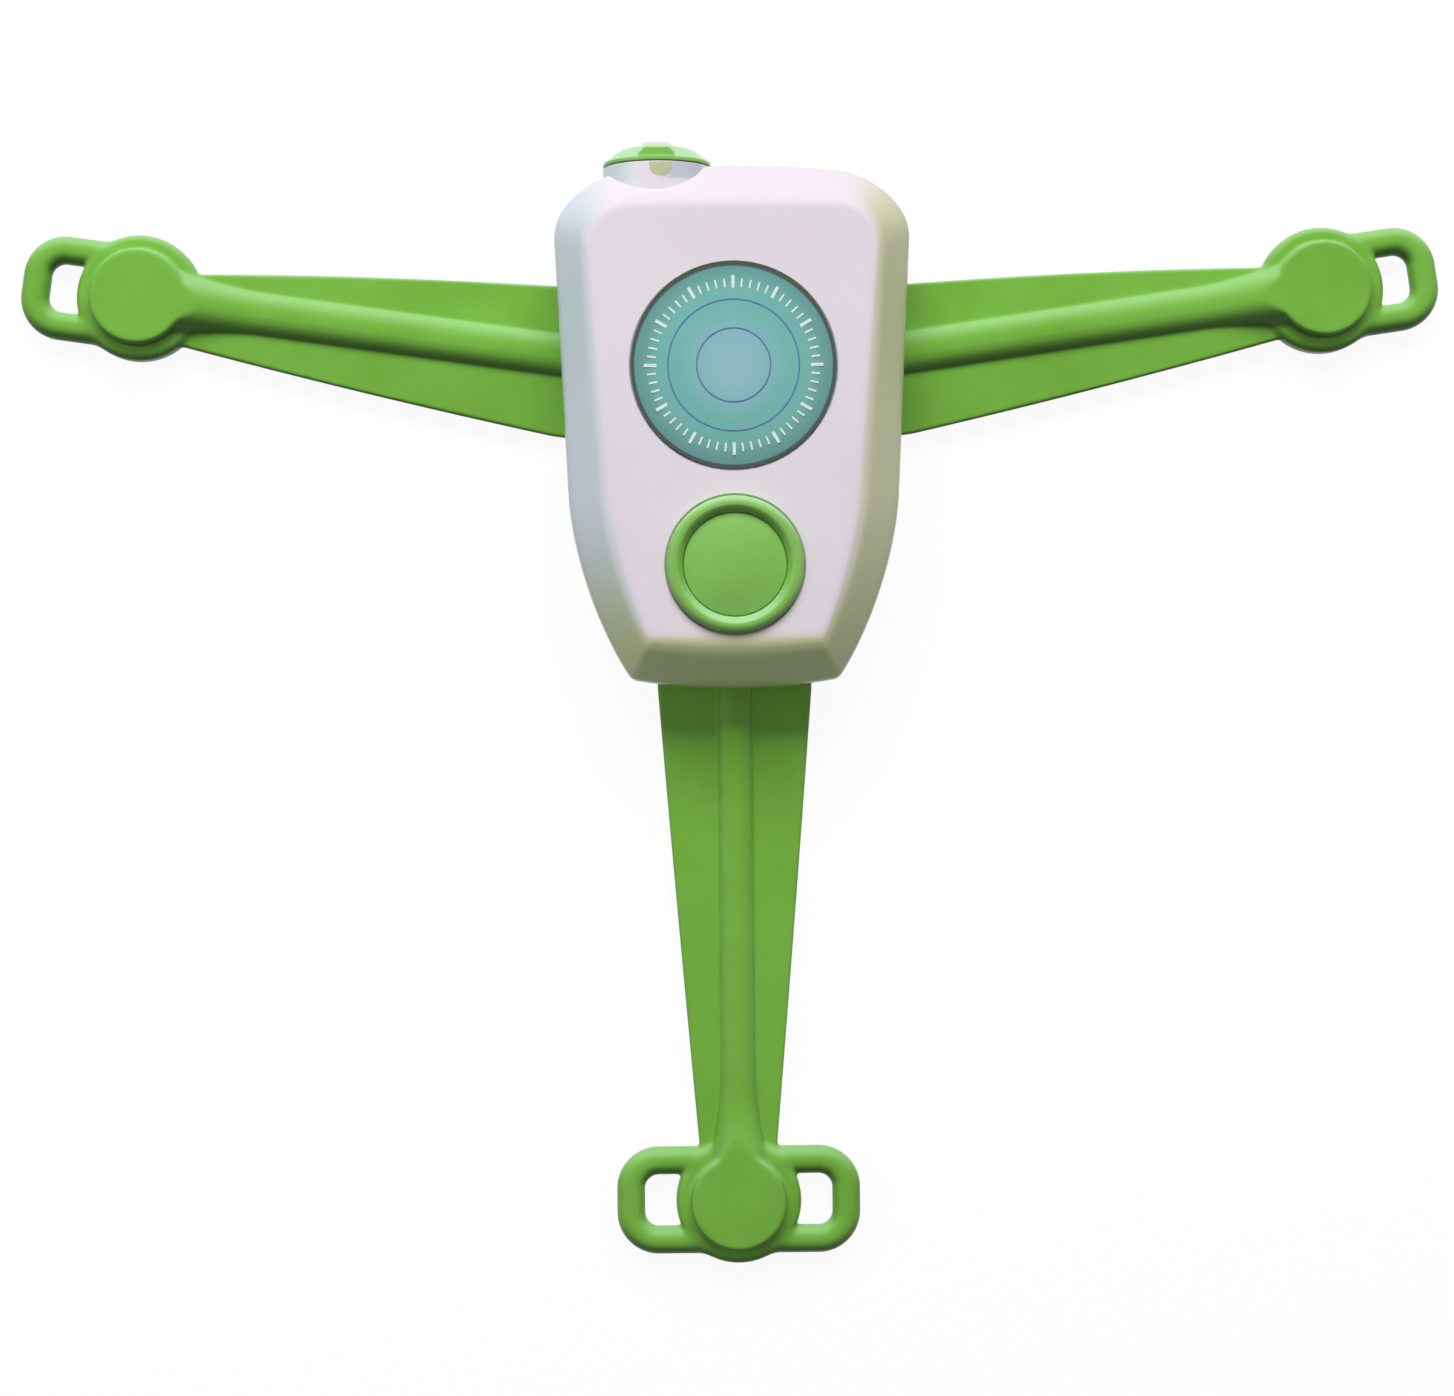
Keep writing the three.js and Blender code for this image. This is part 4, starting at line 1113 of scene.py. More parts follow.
    def shell(self) -> tuple[bpy.types.Mesh, bpy.types.Mesh]:
        """The front cover's outer form and the space inside it.

        Returns:
            The two solids.
        """
        rim = [(self.body(self.draft + inset), self.rim_z + rise) for inset, rise in RIM_EASE]
        outside = lofted([
            *[self.level(*ring) for ring in rim],
            *[self.bevel_ring(*share) for share in self.bevel_profile()],
            self.bevel_ring(1.2, 1),
        ])
        slope = math.hypot(self.bevel_height, self.bevel_side) / self.bevel_height
        foot = self.depth - self.bevel_height
        inner_foot = foot + (self.wall - self.face_wall * slope) * self.bevel_height / self.bevel_side
        inner_inset = self.face_wall * slope - self.face_wall * self.bevel_side / self.bevel_height
        inside = lofted([
            self.level(self.body(self.wall), self.rim_z - OVERRUN),
            self.level(self.body(self.wall), inner_foot),
            self.level(self.plateau(inner_inset), self.depth - self.face_wall),
        ])
        return outside, inside

    def recess(self, radius: float, depth: float, y: float) -> bpy.types.Mesh:
        """A round cutter for the plateau, whose mouth is eased by a small round."""
        edge, top = self.recess_edge, self.depth
        profile = filleted([
            (0, top - depth), (radius, top - depth), (radius, top - edge), (radius + edge, top),
            (radius + edge, top + OVERRUN), (0, top + OVERRUN),
        ])
        return shifted(turned(profile), 0, y)

    def front(self, notches: Sequence[bpy.types.Mesh], finishes: Finishes) -> None:
        """Builds the front cover.

        Args:
            notches: what the arms leave open in its rim.
            finishes: the materials.
        """
        outside, inside = self.shell()
        end = self.half_height
        neck = self.on_neck(filleted([
            (0, self.neck_end_y), (self.neck_radius, self.neck_end_y),
            (self.neck_radius, end, self.neck_round), (0, end),
        ]))
        columns = self.at_posts(rod(self.post_radius, self.board_top + SEAT_GAP, self.post_top))
        top = self.depth - self.face_wall
        left, right = self.neck_x - self.tube_radius, self.neck_x + self.tube_radius
        saddles = [
            block((left, y - self.saddle_thickness / 2, top - self.saddle_depth),
                  (right, y + self.saddle_thickness / 2, top + WELD))
            for y in self.saddles
        ]
        wide, high = self.half_width * 2, self.half_height * 2
        mesh = worked(outside, [inside], Operation.CUT)
        mesh = worked(mesh, [neck, *columns, *saddles], Operation.JOIN)
        skirt = lofted([self.level(self.body(self.skirt_wall), z) for z in (-OVERRUN, self.floor_z)])
        bores = self.at_posts(rod(self.post_bore, self.board_top, self.screw_top + SEAT_GAP))
        sleeve = rod(self.sleeve_radius + SEAT_GAP, top - OVERRUN, self.depth + OVERRUN)
        tools = [
            block((-wide, -high, -self.depth), (wide, high, self.rim_z)),
            skirt,
            self.neck_rod(self.tube_bore, self.neck_end_y - OVERRUN, end + OVERRUN),
            self.neck_rod(self.tube_radius + SEAT_GAP, self.tube_end_y, self.neck_end_y - SEAT_GAP),
            *bores,
            self.recess(self.label_radius + self.recess_gap, self.label_recess, self.label_y),
            shifted(sleeve, 0, self.button_y),
            self.recess(self.ring_radius + self.recess_gap, self.ring_recess, self.button_y),
            *notches,
        ]
        mesh = worked(mesh, tools, Operation.CUT)
        cover = piece("front_shell", mesh, finishes.housing, 34)
        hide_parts("front_cover")
        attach(cover, "recorder")
        report(cover)

    def rear(self, finishes: Finishes) -> None:
        """Builds the flat rear cover, with its rounded edge, platform, posts and counterbores.

        Args:
            finishes: the materials.
        """
        edge = [
            (
                self.rear_inset + self.rear_round * (1 - math.sin(angle)),
                self.rear_thickness * 0.8 * (1 - math.cos(angle)),
            )
            for angle in quarter_turn(6)
        ]
        plate = lofted([
            self.level(self.body(edge[0][0] + 0.4), 0),
            *[self.level(self.body(inset), z) for inset, z in edge],
            self.level(self.body(self.rear_inset), self.rear_thickness),
        ])
        platform = lofted([
            self.level(self.body(self.wall + SEAT_GAP), z) for z in (self.rear_thickness - WELD, self.floor_z)
        ])
        columns = [
            shifted(rod(self.post_radius, self.rear_thickness - WELD,
                        (self.board_bottom if number else self.board_top) - SEAT_GAP), x, y)
            for number, (x, y) in enumerate(self.posts)
        ]
        head = self.screw_head + SEAT_GAP
        bore = filleted([
            (0, -OVERRUN), (head + 0.2, -OVERRUN), (head + 0.2, 0), (head, 0.2), (head, self.counterbore),
            (self.post_bore, self.counterbore), (self.post_bore, self.board_top + OVERRUN),
            (0, self.board_top + OVERRUN),
        ])
        mesh = worked(plate, [platform, *columns], Operation.JOIN)
        tools = [
            *self.at_posts(turned(bore, 48)),
            self.neck_rod(self.tube_radius + SEAT_GAP, self.tube_end_y - SEAT_GAP, self.neck_end_y),
        ]
        mesh = worked(mesh, tools, Operation.CUT)
        cover = piece("rear_shell", mesh, finishes.housing, 34)
        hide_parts("rear_cover")
        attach(cover, "recorder")
        report(cover)

    def screws(self, finishes: Finishes) -> None:
        """Builds the four cross-head screws with Geometry Nodes.

        Args:
            finishes: the materials.
        """
        recipe = NodeRecipe("cover_screw_recipe")
        radius = recipe.size("Head radius", self.screw_head)
        rim_radius = recipe.size("Head rim radius", self.screw_head - self.screw_ease)
        height = recipe.size("Head height", self.screw_head_height - self.screw_ease)
        ease = recipe.size("Head ease", self.screw_ease)
        shank_radius = recipe.size("Shank radius", self.screw_shank)
        shank_length = recipe.size("Shank length", self.screw_top - self.counterbore + SEAT_GAP)
        slot_width = recipe.size("Slot width", self.screw_slot[0])
        slot_length = recipe.size("Slot length", self.screw_slot[1])
        slot_depth = recipe.size("Slot depth", self.screw_slot[2])
        head_low = self.counterbore - SEAT_GAP - self.screw_head_height
        cone = recipe.add("GeometryNodeMeshCone", inputs={
            "Vertices": 40, "Radius Top": radius, "Radius Bottom": rim_radius, "Depth": ease,
        })
        drum = recipe.add("GeometryNodeMeshCylinder", inputs={
            "Vertices": 40, "Radius": radius, "Depth": height,
        })
        middle = calculated(recipe.tree, "MULTIPLY_ADD", height, 0.5, ease)
        drum_moved = recipe.carried(drum[0], recipe.vector(0, 0, middle))
        shank = recipe.add("GeometryNodeMeshCylinder", inputs={
            "Vertices": 24, "Radius": shank_radius, "Depth": shank_length,
        })
        head_top = calculated(recipe.tree, "ADD", height, ease)
        rise = calculated(recipe.tree, "MULTIPLY_ADD", shank_length, 0.5, head_top)
        shank_moved = recipe.carried(shank[0], recipe.vector(0, 0, rise))
        whole = recipe.add("GeometryNodeMeshBoolean", {"operation": "UNION", "solver": "EXACT"})
        union = whole[0].node
        for part in (cone[0], drum_moved, shank_moved):
            recipe.tree.links.new(part, union.inputs["Mesh 2" if "Mesh 2" in union.inputs else 1])
        slots = []
        for wide, long in ((slot_width, slot_length), (slot_length, slot_width)):
            size = recipe.vector(wide, long, slot_depth)
            slots.append(recipe.add("GeometryNodeMeshCube", inputs={"Size": size})[0])
        crossed = recipe.add("GeometryNodeMeshBoolean", {"operation": "DIFFERENCE", "solver": "EXACT"}, {
            "Mesh 1": whole[0],
        })
        for cutter in slots:
            recipe.tree.links.new(cutter, crossed[0].node.inputs["Mesh 2"])
        shaped = recipe.add("GeometryNodeInstanceOnPoints", inputs={
            "Points": recipe.entry.outputs["Geometry"], "Instance": crossed[0],
        })
        points = [(x, y, head_low) for x, y in self.posts]
        screws = recipe.run("cover_screws", shaped[0], points, finishes.steel)
        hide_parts(*[f"cover_screw_{number}" for number in range(1, 5)])
        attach(screws, "recorder")
        report(screws)

    def painted_bar_shadow(self, finishes: Finishes) -> None:
        """Builds a thin olive patch on the neck, below the cap: a painted shadow of the cap's grip bar.

        Args:
            finishes: the materials.
        """
        rows = []
        for drop in (0.0, 0.5, 0.8, 0.92, 0.98, 1.0):
            y = self.half_height - self.mark_top - drop * self.mark_length
            curved = (drop - self.mark_straight) / (1 - self.mark_straight)
            half = self.mark_half_width * max(math.sqrt(1 - max(curved, 0) ** 2), 0.1)
            ring = []
            outer = self.neck_radius + self.mark_thickness
            for radius, sign in ((self.neck_radius - 0.2, 1), (outer, -1)):
                for step in range(9):
                    across = sign * half * (2 * step / 8 - 1) + self.mark_shift
                    angle = across / self.neck_radius
                    ring.append((
                        self.neck_x + radius * math.sin(angle), y, self.neck_z + radius * math.cos(angle),
                    ))
            rows.append(np.array(ring))
        mark = piece("neck_painted_bar_shadow", lofted(rows), finishes.bar_shadow_tint, 40)
        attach(mark, "recorder")
        report(mark)


@dataclass
class DomedLabel:
    """The round label: an epoxy dome over print, with a plain ring of ticks and two fine rings."""

    radius: float = 17.85
    y: float = 10.0
    floor_z: float = 21.8
    edge: float = 0.5
    crown: float = 0.9
    dome_power: float = 2.6
    tick_radius: float = 14.3
    tick_length: float = 1.5
    tick_width: float = 0.32
    tick_height: float = 0.16
    tick_count: int = 60
    long_every: int = 5
    long_stretch: float = 0.7
    ring_radii: tuple[float, ...] = (11.4, 6.4)
    ring_wire: float = 0.16
    ring_sink: float = 0.4

    def height_at(self, away: float) -> float:
        """The dome's level at a distance from its centre."""
        share = away / self.radius
        return self.floor_z + self.edge + self.crown * (1 - share ** self.dome_power)

    def build(self, finishes: Finishes) -> None:
        """Builds the dome, its ticks and its rings.

        Args:
            finishes: the materials.
        """
        rows = [(0.0, self.floor_z), (self.radius, self.floor_z), (self.radius, self.floor_z + self.edge)]
        rows += [
            (self.radius * math.sin(a), self.height_at(self.radius * math.sin(a)))
            for a in (math.pi / 2 * (1 - step / 24) for step in range(1, 25))
        ]
        dome = piece("label_dome_face", shifted(turned(rows), 0, self.y), finishes.label, 40)
        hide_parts("label_dome")
        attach(dome, "recorder")
        report(dome)
        self.ticks(finishes)
        self.rings(finishes)

    def ticks(self, finishes: Finishes) -> None:
        """Builds the ring of ticks with Geometry Nodes, with a longer one at even steps.

        Args:
            finishes: the materials.
        """
        recipe = NodeRecipe("label_tick_recipe")
        ring_radius = recipe.size("Ring radius", self.tick_radius)
        length = recipe.size("Tick length", self.tick_length)
        width = recipe.size("Tick width", self.tick_width)
        height = recipe.size("Tick height", self.tick_height)
        count = recipe.count("Tick count", self.tick_count)
        long_every = recipe.count("Long tick every", self.long_every)
        circle = recipe.add("GeometryNodeMeshCircle", inputs={"Vertices": count, "Radius": ring_radius})
        bar = recipe.add("GeometryNodeMeshCube", inputs={"Size": recipe.vector(length, width, height)})
        position = recipe.add("GeometryNodeInputPosition")
        facing = recipe.add("FunctionNodeAlignRotationToVector", {"axis": "X"}, {"Vector": position[0]})
        index = recipe.add("GeometryNodeInputIndex")
        place = calculated(recipe.tree, "MODULO", index[0], long_every)
        first = calculated(recipe.tree, "LESS_THAN", place, 0.5)
        stretch = calculated(recipe.tree, "MULTIPLY_ADD", first, self.long_stretch, 1.0)
        bars = recipe.add("GeometryNodeInstanceOnPoints", inputs={
            "Points": circle[0], "Instance": bar[0], "Rotation": facing[0],
            "Scale": recipe.vector(stretch, stretch, 1.0),
        })
        level = self.height_at(self.tick_radius) * MM
        raised = recipe.carried(bars[0], (0, self.y * MM, level))
        ticks = recipe.run("label_ticks", raised, [(0, 0, 0)], finishes.tick_ink)
        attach(ticks, "recorder")
        report(ticks)

    def rings(self, finishes: Finishes) -> None:
        """Builds the two fine rings with Geometry Nodes.

        Args:
            finishes: the materials.
        """
        recipe = NodeRecipe("label_ring_recipe")
        wire = recipe.size("Line radius", self.ring_wire)
        section = recipe.add("GeometryNodeCurvePrimitiveCircle", inputs={"Resolution": 10, "Radius": wire})
        together = recipe.add("GeometryNodeJoinGeometry")
        for number, away in enumerate(self.ring_radii, 1):
            radius = recipe.size(f"Ring {number} radius", away)
            circle = recipe.add("GeometryNodeCurvePrimitiveCircle", inputs={
                "Resolution": 96, "Radius": radius,
            })
            line = recipe.add("GeometryNodeCurveToMesh", inputs={
                "Curve": circle[0], "Profile Curve": section[0],
            })
            level = (self.height_at(away) - self.ring_wire * self.ring_sink) * MM
            raised = recipe.carried(line[0], (0, self.y * MM, level))
            recipe.tree.links.new(raised, together[0].node.inputs[0])
        rings = recipe.run("label_rings", together[0], [(0, 0, 0)], finishes.ring_ink)
        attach(rings, "recorder")
        report(rings)


@dataclass
class EventButton:
    """The green event button and the raised ring round it."""

    y: float = -24.5
    face_z: float = 22.0
    radius: float = 9.0
    top: float = 23.35
    crown: float = 1.25
    flange_radius: float = 9.6
    flange_low: float = 17.4
    flange_high: float = 18.5
    stem_radius: float = 3.0
    stem_bottom: float = 15.3
    ring_outer: float = 12.0
    ring_inner: float = 9.07
    ring_crest: float = 10.45
    ring_crest_z: float = 23.7
    ring_drop: float = 1.45
    ring_foot: float = 0.35
    ring_curve: float = 1.6
    key_round: float = 0.25
    sleeve_radius: float = 10.2
    sleeve_bottom: float = 18.8
    seat_z: float = 21.6

    def build(self, finishes: Finishes) -> None:
        """Builds the ring and the button.

        Args:
            finishes: the materials.
        """
        foot = self.face_z + self.ring_foot
        reach, rise = self.ring_outer - self.ring_crest, self.ring_crest_z - foot
        crest = [
            (self.ring_crest + reach * math.cos(angle), foot + rise * math.sin(angle))
            for angle in quarter_turn(8)
        ]
        for step in range(1, 11):
            share = step / 10
            inward = self.ring_crest - (self.ring_crest - self.ring_inner) * share
            crest.append((inward, self.ring_crest_z - self.ring_drop * share ** self.ring_curve))
        profile = [
            (self.ring_inner, self.sleeve_bottom), (self.sleeve_radius, self.sleeve_bottom),
            (self.sleeve_radius, self.seat_z), (self.ring_outer, self.seat_z), *crest,
            (self.ring_inner, self.sleeve_bottom),
        ]
        ring = piece("button_ring", shifted(turned(profile), 0, self.y), finishes.button, 40)
        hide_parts("button_rim")
        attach(ring, "recorder")
        report(ring)
        shares = [1 - step / 12 for step in range(13)]
        domed = [(self.radius * share, self.top - self.crown * share ** 2) for share in shares]
        key_profile = filleted([
            (0, self.stem_bottom), (self.stem_radius, self.stem_bottom), (self.stem_radius, self.flange_low),
            (self.flange_radius, self.flange_low), (self.flange_radius, self.flange_high),
            (self.radius, self.flange_high), (*domed[0], self.key_round), *domed[1:],
        ])
        key = piece("button_key", shifted(turned(key_profile), 0, self.y), finishes.button, 40)
        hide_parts("event_button")
        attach(key, "button")
        report(key)


@dataclass
class BatteryCap:
    """The screw cap in the neck: a low dome with a grip bar across it."""

    neck_x: float = -13.1
    neck_z: float = 10.4
    radius: float = 9.55
    face_y: float = 46.12
    shoulder_y: float = 46.8
    crown_radius: float = 6.2
    crown_y: float = 49.36
    dome_top: float = 49.7
    plug_radius: float = 7.25
    plug_end: float = 41.7
    groove_depth: float = 1.3
    groove_half: float = 0.85
    seal_y: float = 43.85
    rivet_bore: float = 1.7
    rivet_top: float = 44.0
    grip_top: float = 50.5
    grip_arch_radius: float = 21.4
    grip_base_half: float = 3.2
    grip_top_half: float = 2.1
    grip_shoulder: float = 1.3
    grip_inset: float = 0.15
    grip_round: float = 0.4
    grip_fillet: float = 0.3
    step: float = 0.18

    def profile(self) -> np.ndarray:
        """The turned part's half section: plug with its seal groove, flange and pillow-shaped dome."""
        past_axis = -self.radius
        groove = self.plug_radius - self.groove_depth
        low, high = self.seal_y - self.groove_half, self.seal_y + self.groove_half
        return np.array(filleted([
            (past_axis, self.rivet_top), (self.rivet_bore, self.rivet_top), (self.rivet_bore, self.plug_end),
            (self.plug_radius, self.plug_end, 0.3), (self.plug_radius, low), (groove, low), (groove, high),
            (self.plug_radius, high), (self.plug_radius, self.face_y), (self.radius, self.face_y, 0.15),
            (self.radius, self.shoulder_y, 0.4), (self.crown_radius, self.crown_y, 5.0),
            (0, self.dome_top, 40.0), (past_axis, self.dome_top),
        ]))

    def grip(self, points: np.ndarray) -> np.ndarray:
        """Distance to the grip bar, which arches down towards its ends."""
        x, y, z = points.T
        over = z - self.grip_top + y ** 2 / (2 * self.grip_arch_radius)
        beside = np.abs(x) - self.grip_base_half
        slope = math.hypot(self.grip_shoulder, self.grip_base_half - self.grip_top_half)
        shoulder = (
            (np.abs(x) - self.grip_top_half) * self.grip_shoulder
            + over * (self.grip_base_half - self.grip_top_half)
        ) / slope
        section = carved(carved(shoulder, -beside, self.grip_round), -over, self.grip_round)
        ends = np.hypot(x, y) - self.radius + self.grip_inset
        rounded = carved(section, -ends, self.grip_fillet)
        return np.maximum(rounded, self.face_y + self.grip_inset - z)

    def field(self, points: np.ndarray) -> np.ndarray:
        """Distance to the cap, in its own frame: the neck's axis is Z, its grip bar lies along Y."""
        x, y, z = points.T
        body = outline_distance(np.column_stack([np.hypot(x, y), z]), self.profile())
        return merged(body, self.grip(points), self.grip_fillet)

    def build(self, finishes: Finishes) -> None:
        """Builds the cap.

        Args:
            finishes: the materials.
        """
        reach = self.radius + OVERRUN
        low = (-reach, -reach, self.plug_end - OVERRUN)
        high = (reach, reach, self.grip_top + OVERRUN)
        mesh = skinned(self.field, low, high, self.step)
        mesh = moved(mesh, laid_on_neck(self.neck_x, self.neck_z))
        cap = piece("battery_cap_turned", mesh, finishes.button)
        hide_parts("battery_cap")
        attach(cap, "cap")
        report(cap)


@dataclass
class SiliconeArm:
    """One moulded arm: flat web, cable ridge, stepped electrode head and its strap loops."""

    side: Side
    x: float
    y: float
    angle: float
    length: float
    plus_edge: tuple[float, float, float]
    minus_edge: tuple[float, float, float]
    loop_angles: tuple[float, ...]
    loop_reach: float
    loop_half: float
    floor_z: float = 2.2
    web_thickness: float = 2.0
    web_round: float = 0.5
    web_tip_gap: float = 7.5
    web_slope: float = 0.07
    ridge_radius: float = 3.05
    ridge_half: float = 3.95
    ridge_fillet: float = 0.35
    flare_reach: float = 1.95
    flare_end: float = 0.4
    flare_wide: float = 2.0
    flare_wide_power: float = 1.65
    flare_high: float = 0.8
    flare_high_share: float = 0.77
    flare_high_power: float = 1.8
    head_radius: float = 11.2
    head_base: float = 5.2
    head_round: float = 1.5
    top_radius: float = 8.5
    head_height: float = 8.0
    top_round: float = 1.2
    loop_radius: float = 2.5
    loop_z: float = 2.6
    loop_bend: float = 5.0
    pocket_radius: float = 5.3
    pocket_depth: float = 5.2
    tongue_height: float = 4.6
    tongue_outer: float = 2.5
    tongue_inner: float = 5.0
    tongue_round: float = 0.3
    near_reach: float = 9.0
    bend_reach: float = 13.0
    top_sink: float = 3.0
    step_fillet: float = 0.7
    joining_fillet: float = 0.9
    crown_skim: float = 0.3
    pocket_round: float = 0.3
    step: float = 0.36

    def matrix(self) -> Matrix:
        """From the arm's own frame to the row's, in millimetres."""
        return Matrix.Translation((self.x, self.y, 0)) @ Matrix.Rotation(self.angle, 4, "Z")

    def web_half(self, edge: tuple[float, float, float], t: Any) -> Any:
        """Half width on one side of the web, by its root, tip and bulge, at a share of its length."""
        root, tip, bulge = edge
        return root + (tip - root) * t + bulge * 4 * t * (1 - t)

    def web_plan(self, x: np.ndarray, y: np.ndarray, grow: float) -> np.ndarray:
        """Distance to the web's outline in plan, with a clearance round it."""
        reach = self.length - self.web_tip_gap
        t = np.clip(x / reach, 0, 1)
        sides = []
        for sign, edge in ((1, self.plus_edge), (-1, self.minus_edge)):
            lean = math.cos(math.atan((edge[0] - edge[1]) / reach))
            sides.append((sign * y - self.web_half(edge, t) - grow) * lean)
        return np.maximum(np.maximum(sides[0], sides[1]), x - reach)

    def web_drop(self, across: Any) -> Any:
        """How much thinner the web is at a distance from its middle line."""
        return self.web_slope * np.maximum(across - self.ridge_half, 0)

    def ridge(self, x: np.ndarray, y: np.ndarray, z: np.ndarray, grow: float) -> np.ndarray:
        """Distance to the round ridge, which flares into the head."""
        back = (self.length - x) / self.head_radius
        share = np.clip((self.flare_reach - back) / (self.flare_reach - self.flare_end), 0, 1)
        straight = self.ridge_half / self.ridge_radius
        wide = straight + (self.flare_wide - straight) * share ** self.flare_wide_power
        lifted = np.minimum(share / self.flare_high_share, 1)
        high = 1 + self.flare_high * lifted ** self.flare_high_power
        middle = self.floor_z + self.web_thickness / 2
        around = np.hypot(y / wide, (z - middle) / high) - self.ridge_radius - grow
        ends = np.maximum(x - self.length, self.floor_z - z)
        return np.maximum(around * np.minimum(wide, high), ends)

    def loop(self, x: np.ndarray, y: np.ndarray, z: np.ndarray, angle: float) -> np.ndarray:
        """Distance to a strap loop that leaves the head at an angle."""
        along = (x - self.length) * math.cos(angle) + y * math.sin(angle)
        across = y * math.cos(angle) - (x - self.length) * math.sin(angle)
        half_reach = (self.loop_reach - self.loop_radius) / 2
        half = self.loop_half - self.loop_radius
        box = rounded_slab(np.abs(along - half_reach) - half_reach, np.abs(across) - half, self.loop_bend)
        return np.hypot(box, z - self.loop_z) - self.loop_radius

    def depth_inside(self, points: np.ndarray, body: np.ndarray) -> np.ndarray:
        """How deep points lie inside the housing's outline.

        Args:
            points: points in the arm's own frame.
            body: the housing's outline.

        Returns:
            The depths; far from the housing, only a large negative number.
        """
        depth = np.full(len(points), -self.near_reach)
        near = points[:, 0] < self.near_reach
        turn = np.array(self.matrix())[:2, :2]
        spots = points[near, :2] @ turn.T + (self.x, self.y)
        depth[near] = -outline_distance(spots, body)
        return depth

    def field(self, body: np.ndarray) -> Field:
        """The arm's distance field.

        Args:
            body: the housing's outline.

        Returns:
            A function from points in the arm's own frame to distances.
        """

        def distance(points: np.ndarray) -> np.ndarray:
            """Distance of each point to the arm."""
            x, y, z = points.T
            plan = self.web_plan(x, y, 0)
            middle = self.floor_z + self.web_thickness / 2
            drop = self.web_drop(np.abs(y))
            upright = np.abs(z - middle + drop / 2) - (self.web_thickness - drop) / 2
            web = rounded_slab(plan, upright, self.web_round)
            arm = merged(web, self.ridge(x, y, z, 0), self.ridge_fillet)
            depth = self.depth_inside(points, body)
            tall = np.abs(z - self.floor_z - self.tongue_height / 2) - self.tongue_height / 2
            tongue = rounded_slab(np.maximum(plan, self.tongue_outer - depth), tall, self.tongue_round)
            arm = np.maximum(np.minimum(arm, tongue), depth - self.tongue_inner)
            away = np.hypot(x - self.length, y)
            base = disc(away, z, self.head_radius, 0, self.head_base, self.head_round)
            crown = self.head_height + self.crown_skim
            top = disc(away, z, self.top_radius, self.head_base - self.top_sink, crown, self.top_round)
            head = merged(base, top, self.step_fillet)
            for angle in self.loop_angles:
                head = merged(head, self.loop(x, y, z, angle), self.joining_fillet)
            arm = carved(merged(arm, head, self.joining_fillet), self.head_height - z, self.crown_skim)
            pocket = np.maximum(away - self.pocket_radius, z - self.pocket_depth)
            return carved(arm, pocket, self.pocket_round)

        return distance

    def notch(self, housing: Housing) -> bpy.types.Mesh:
        """What the arm leaves open in the front cover's rim.

        Args:
            housing: the covers; not used.

        Returns:
            The cutter, in the row frame.
        """
        grow = 0.1
        inner = -self.tongue_inner * 2
        stations = np.linspace(inner, self.length * 0.3, 9)
        top = self.floor_z + self.web_thickness + grow
        middle = self.floor_z + self.web_thickness / 2
        ease = 0.5
        wide, high = self.ridge_half + grow, self.ridge_radius + grow
        lean = math.asin((top - middle) / high)
        foot = wide * math.cos(lean) + ease
        lean += ease / wide
        rows = []
        for x in stations:
            t = max(x, 0) / (self.length - self.web_tip_gap)
            halves = [self.web_half(edge, t) + grow for edge in (self.plus_edge, self.minus_edge)]
            crown = [lean + (math.pi - 2 * lean) * step / 24 for step in range(25)]
            section = [
                (halves[0], -OVERRUN), (halves[0], top - self.web_drop(halves[0])), (foot, top),
                *[(wide * math.cos(angle), middle + high * math.sin(angle)) for angle in crown],
                (-foot, top), (-halves[1], top - self.web_drop(halves[1])), (-halves[1], -OVERRUN),
            ]
            rows.append(np.array([(x, y, z) for y, z in section]))
        return moved(lofted(rows), self.matrix())

    def build(self, housing: Housing, finishes: Finishes) -> None:
        """Builds the arm and the snap socket under its head.

        Args:
            housing: the covers.
            finishes: the materials.
        """
        wide = max(self.plus_edge[0], self.minus_edge[0])
        reach = self.loop_reach if self.loop_angles == (0,) else self.head_radius
        across = wide if self.loop_angles == (0,) else self.loop_reach
        low = (-self.tongue_inner - 4, -across - OVERRUN, -OVERRUN)
        high = (self.length + reach + OVERRUN, across + OVERRUN, self.head_height + OVERRUN)
        mesh = skinned(self.field(housing.body(0)), low, high, self.step)
        name = self.side.value
        arm = piece(f"{name}_silicone_arm", moved(mesh, self.matrix()), finishes.silicone)
        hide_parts(f"{name}_arm", f"{name}_arm_root")
        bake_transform(arm)
        report(arm)
        self.socket(finishes)

    def socket(self, finishes: Finishes) -> None:
        """Builds the turned snap socket in the head's pocket.

        Args:
            finishes: the materials.
        """
        bore, groove, body = 2.05, 2.75, 3.4
        flange, flange_top = self.pocket_radius - SEAT_GAP, SEAT_GAP + 0.9
        groove_low, groove_high, roof, top = 1.2, 2, 3.3, 4.5
        profile = filleted([
            (0, roof), (bore, roof), (bore, groove_high), (groove, groove_high), (groove, groove_low),
            (bore, groove_low), (bore, SEAT_GAP, 0.25), (flange, SEAT_GAP, 0.3),
            (flange, flange_top, 0.2), (body, flange_top), (body, top, 0.3), (0, top),
        ])
        mesh = moved(shifted(turned(profile, 64), self.length, 0), self.matrix())
        name = self.side.value
        socket = piece(f"{name}_snap_cup", mesh, finishes.steel, 38)
        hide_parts(f"{name}_snap_socket")
        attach(socket, f"{name}_arm")
        report(socket)


